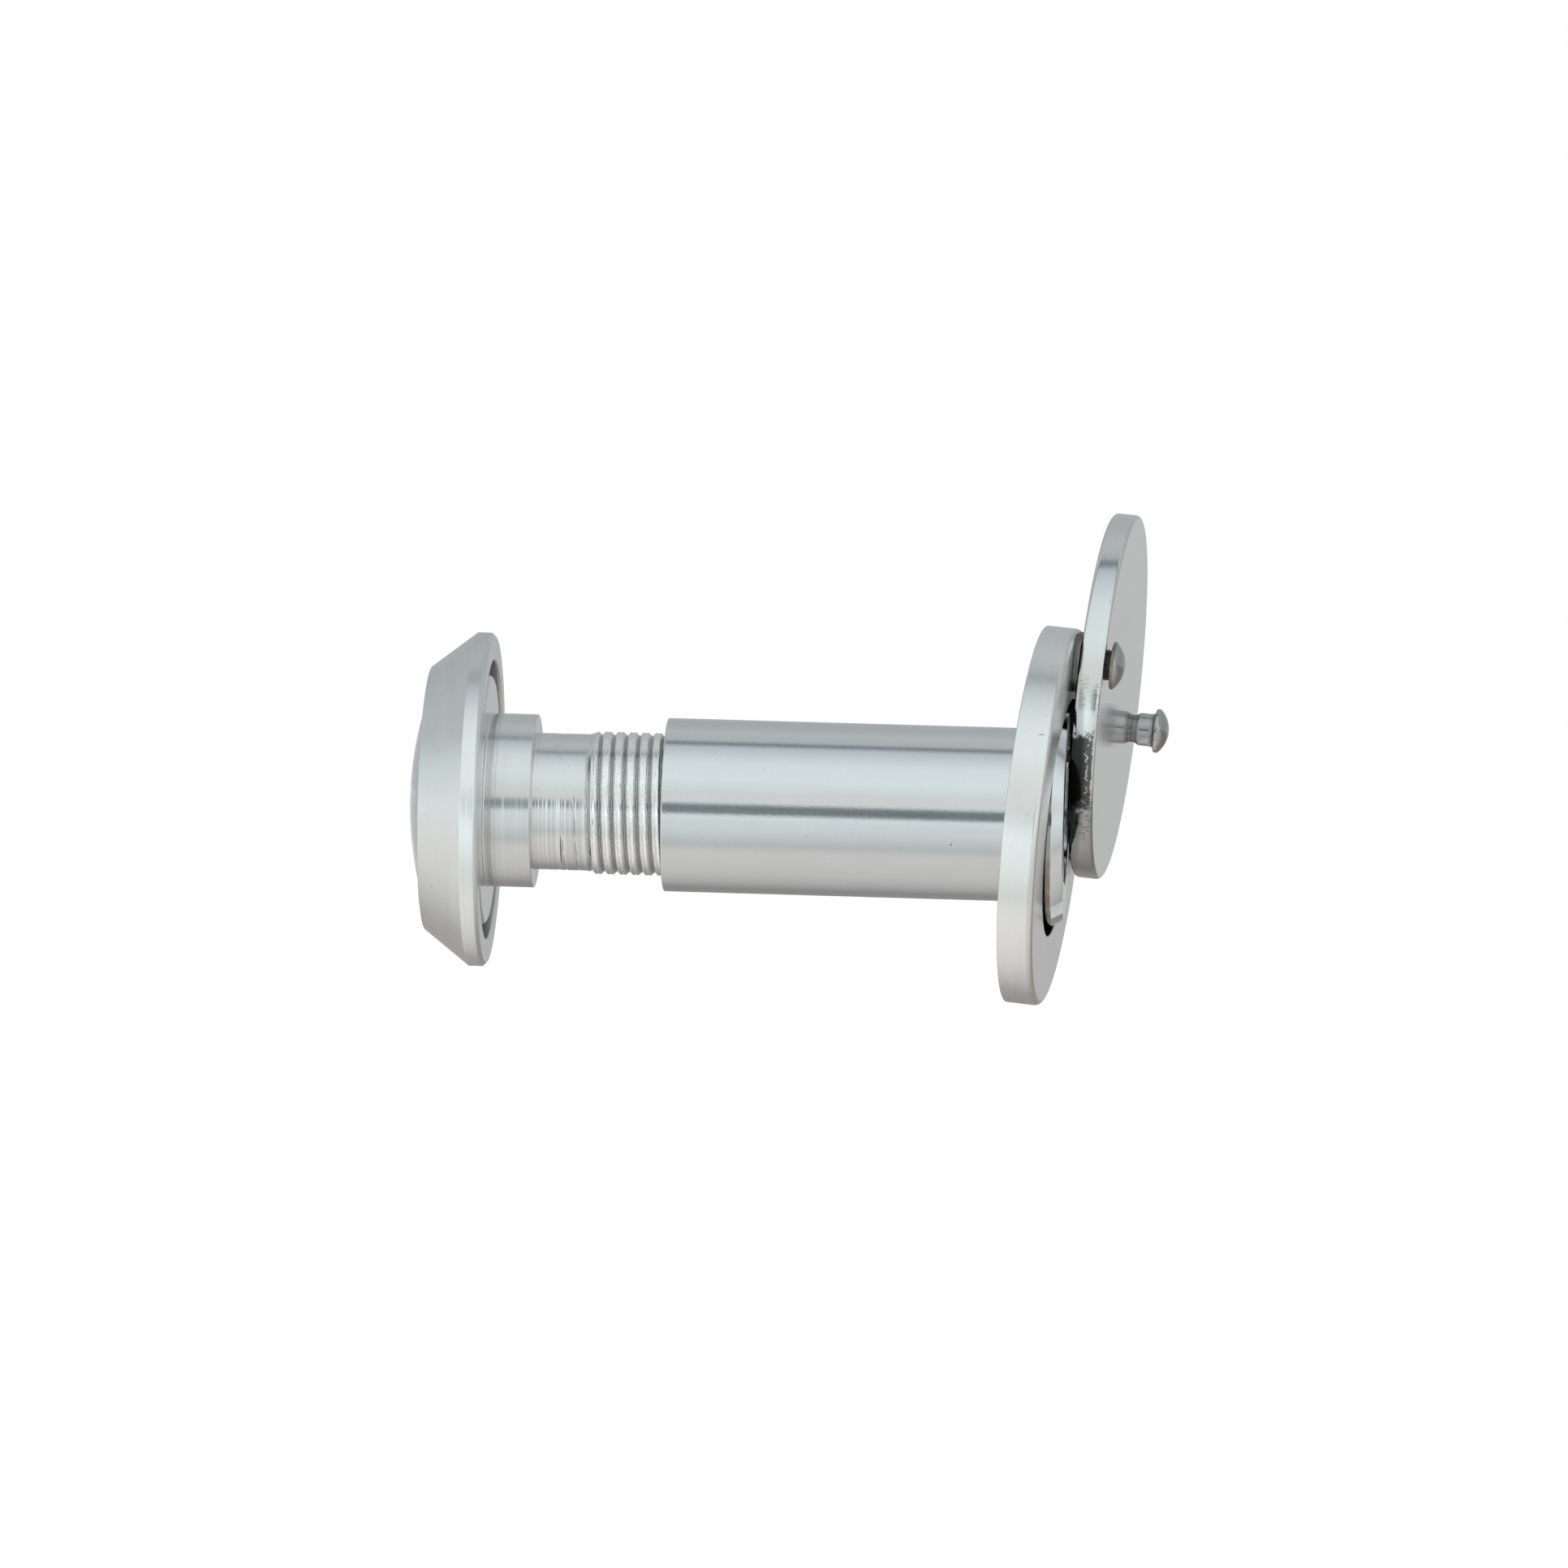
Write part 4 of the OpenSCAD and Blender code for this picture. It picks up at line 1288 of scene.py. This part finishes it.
def studio_floor(studio):
    """A plain pale floor that is white to the camera and keeps the object's shadow."""
    height = CAD_BOX[0][2] - 0.1 * MM
    steps = 96
    rings = [
        [(23 * MM + r * math.cos(a * TURN / steps), r * math.sin(a * TURN / steps), height)
         for a in range(steps)] for r in (0.06, 0.14, 0.4)
    ]
    vertices = [(23 * MM, 0, height)] + sum(rings, [])
    faces = [(0, 1 + k, 1 + (k + 1) % steps) for k in range(steps)]
    for start in range(1, 1 + steps * (len(rings) - 1), steps):
        for k in range(steps):
            n = (k + 1) % steps
            faces.append((start + k, start + steps + k, start + steps + n, start + n))
    mesh = bpy.data.meshes.new("floor")
    mesh.from_pydata(vertices, [], faces)
    floor = placed("floor", mesh)
    floor.visible_glossy = False
    made, tree, place = material("pale_floor")
    paper = tree.noise(place, 40.0, 3.0)
    shade = tree.tinted(tuple(studio.floor), 0.995 + paper * 0.01)
    plain = tree.node("ShaderNodeBsdfDiffuse", {}, {"Color": shade})["BSDF"]
    glow = tree.node("ShaderNodeEmission", {}, {"Color": 1.0, "Strength": studio.floor_glow})["Emission"]
    white = tree.node("ShaderNodeAddShader", {}, {0: plain, 1: glow})["Shader"]
    straight = rays_that_see(tree)[0]
    tree.surface(tree.node("ShaderNodeMixShader", {}, {0: straight, 1: plain, 2: white})["Shader"])
    mesh.materials.append(made)
    floor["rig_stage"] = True


def soft_lamp(studio):
    """One large soft lamp at the front, upper left."""
    data = bpy.data.lights.new("soft_lamp", "AREA")
    data.shape = "DISK"
    data.size = 0.5
    data.energy = studio.lamp_power
    lamp = placed("soft_lamp", data)
    stand = Vector((-0.18, -0.40, 0.46))
    lamp.location = stand
    lamp.rotation_euler = (Vector((0.02, 0, 0)) - stand).to_track_quat("-Z", "Y").to_euler()
    lamp.visible_glossy = False


class DOORVIEWER_OT_stage(bpy.types.Operator):
    """Makes the floor, the light and the background"""

    bl_idname = "door_viewer.stage"
    bl_label = "Stage"

    def execute(self, context):
        context.scene.view_settings.view_transform = "Standard"
        for part in (studio_sky, studio_floor, soft_lamp):
            part(context.scene.door_viewer_studio)
        return {"FINISHED"}


# ---------------------------------------------------------------- the panel and where the image points show


OPERATORS = (
    DOORVIEWER_OT_camera, DOORVIEWER_OT_bezel, DOORVIEWER_OT_tube, DOORVIEWER_OT_sleeve,
    DOORVIEWER_OT_rosette, DOORVIEWER_OT_cover, DOORVIEWER_OT_studs, DOORVIEWER_OT_lenses,
    DOORVIEWER_OT_rings, DOORVIEWER_OT_stage,
)


class DOORVIEWER_PT_panel(bpy.types.Panel):
    """Lists the pieces of the door viewer and their settings"""

    bl_idname = "DOORVIEWER_PT_panel"
    bl_label = "Door viewer"
    bl_space_type = "VIEW_3D"
    bl_region_type = "UI"
    bl_category = "Door viewer"

    def draw(self, context):
        layout = self.layout
        for operator in OPERATORS:
            layout.operator(operator.bl_idname)
        for name in GROUPS:
            group = getattr(context.scene, name)
            box = layout.box()
            for item in group.bl_rna.properties:
                if item.identifier not in ("rna_type", "name"):
                    box.prop(group, item.identifier)


GROUPS = {
    "door_viewer_sizes": DoorViewerSizes,
    "door_viewer_finishes": DoorViewerFinishes,
    "door_viewer_studio": DoorViewerStudio,
}

CLASSES = (*GROUPS.values(), *OPERATORS, DOORVIEWER_PT_panel)


def register():
    for kind in CLASSES:
        bpy.utils.register_class(kind)
    for name, group in GROUPS.items():
        setattr(bpy.types.Scene, name, PointerProperty(type=group))


def unregister():
    for name in GROUPS:
        delattr(bpy.types.Scene, name)
    for kind in reversed(CLASSES):
        bpy.utils.unregister_class(kind)


def showing(points, tree, reach=0.05 * MM):
    """Which of these points the photograph's camera sees."""
    stand = camera_axes()[3]
    seen = []
    for point in points:
        ray = Vector(point) - stand
        hit = tree.ray_cast(stand, ray.normalized(), ray.length - reach)
        seen.append(hit[0] is None)
    return np.array(seen, bool)


def write_points():
    shown = [o for o in bpy.data.objects if o.type == "MESH" and not o.hide_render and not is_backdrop(o)]
    tree = tree_of(shown)
    corners = {o.name: corner_points(o) for o in shown}
    everything = np.concatenate(list(corners.values()))
    flat = to_photo(everything)
    found = {}
    for name, column, pick in (
        ("left", 0, np.argmin), ("right", 0, np.argmax), ("top", 1, np.argmin), ("bottom", 1, np.argmax),
    ):
        order = np.argsort(flat[:, column])
        order = order if pick is np.argmin else order[::-1]
        first = next(i for i in order[:4000] if showing([everything[i]], tree)[0])
        found[name] = flat[first]

    def part(piece, keep):
        points = corners[piece]
        points = points[keep(points)]
        points = points[showing(points, tree)]
        return to_photo(points)

    def top_of(points):
        return points[np.argmin(points[:, 1])]

    def bottom_of(points):
        return points[np.argmax(points[:, 1])]

    def middle_of(points):
        return (points.min(0) + points.max(0)) / 2

    found["bezel_top"] = top_of(part("bezel_turned", lambda p: p[:, 0] > -0.15 * MM))
    found["shoulder_top"] = top_of(part("tube_turned", lambda p: np.abs(p[:, 0] - 3.6 * MM) < 0.08 * MM))
    found["sleeve_start_top"] = top_of(part("sleeve_turned", lambda p: p[:, 0] < 14.2 * MM))
    found["rivet"] = middle_of(part("rivet_turned", lambda p: p[:, 0] > 0))
    from_knob = np.array(knob_place().inverted())
    knob = part("knob_turned", lambda p: (p @ from_knob[0, :3] + from_knob[0, 3]) > 3.88 * MM)
    found["knob_head"] = middle_of(knob)
    found["cover_bottom"] = bottom_of(part("cover_turned", lambda p: p[:, 0] > 0))
    from_disc = np.array(rosette_place().inverted())
    disc = part("rosette_turned", lambda p: (p @ from_disc[0, :3] + from_disc[0, 3]) < -2.6 * MM)
    found["rosette_bottom"] = bottom_of(disc)
    for piece, name in (
        ("tube_turned", "neck_scratch"), ("rosette_turned", "rosette_scratch"),
        ("sleeve_turned", "sleeve_nick"), ("cover_turned", "cover_painted_reflection"),
    ):
        found[name] = to_photo([bpy.data.objects[piece][name]])[0]
    for name, wanted in IMAGE_POINTS.items():
        shows = found[name]
        [None if w is None else round(float(s - w), 2) for s, w in zip(shows, wanted)]


def main():
    """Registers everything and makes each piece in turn."""
    register()
    for operator in OPERATORS:
        group, name = operator.bl_idname.split(".")
        getattr(getattr(bpy.ops, group), name)()
    bpy.context.view_layer.update()
    write_points()


if __name__ == "__main__":
    main()
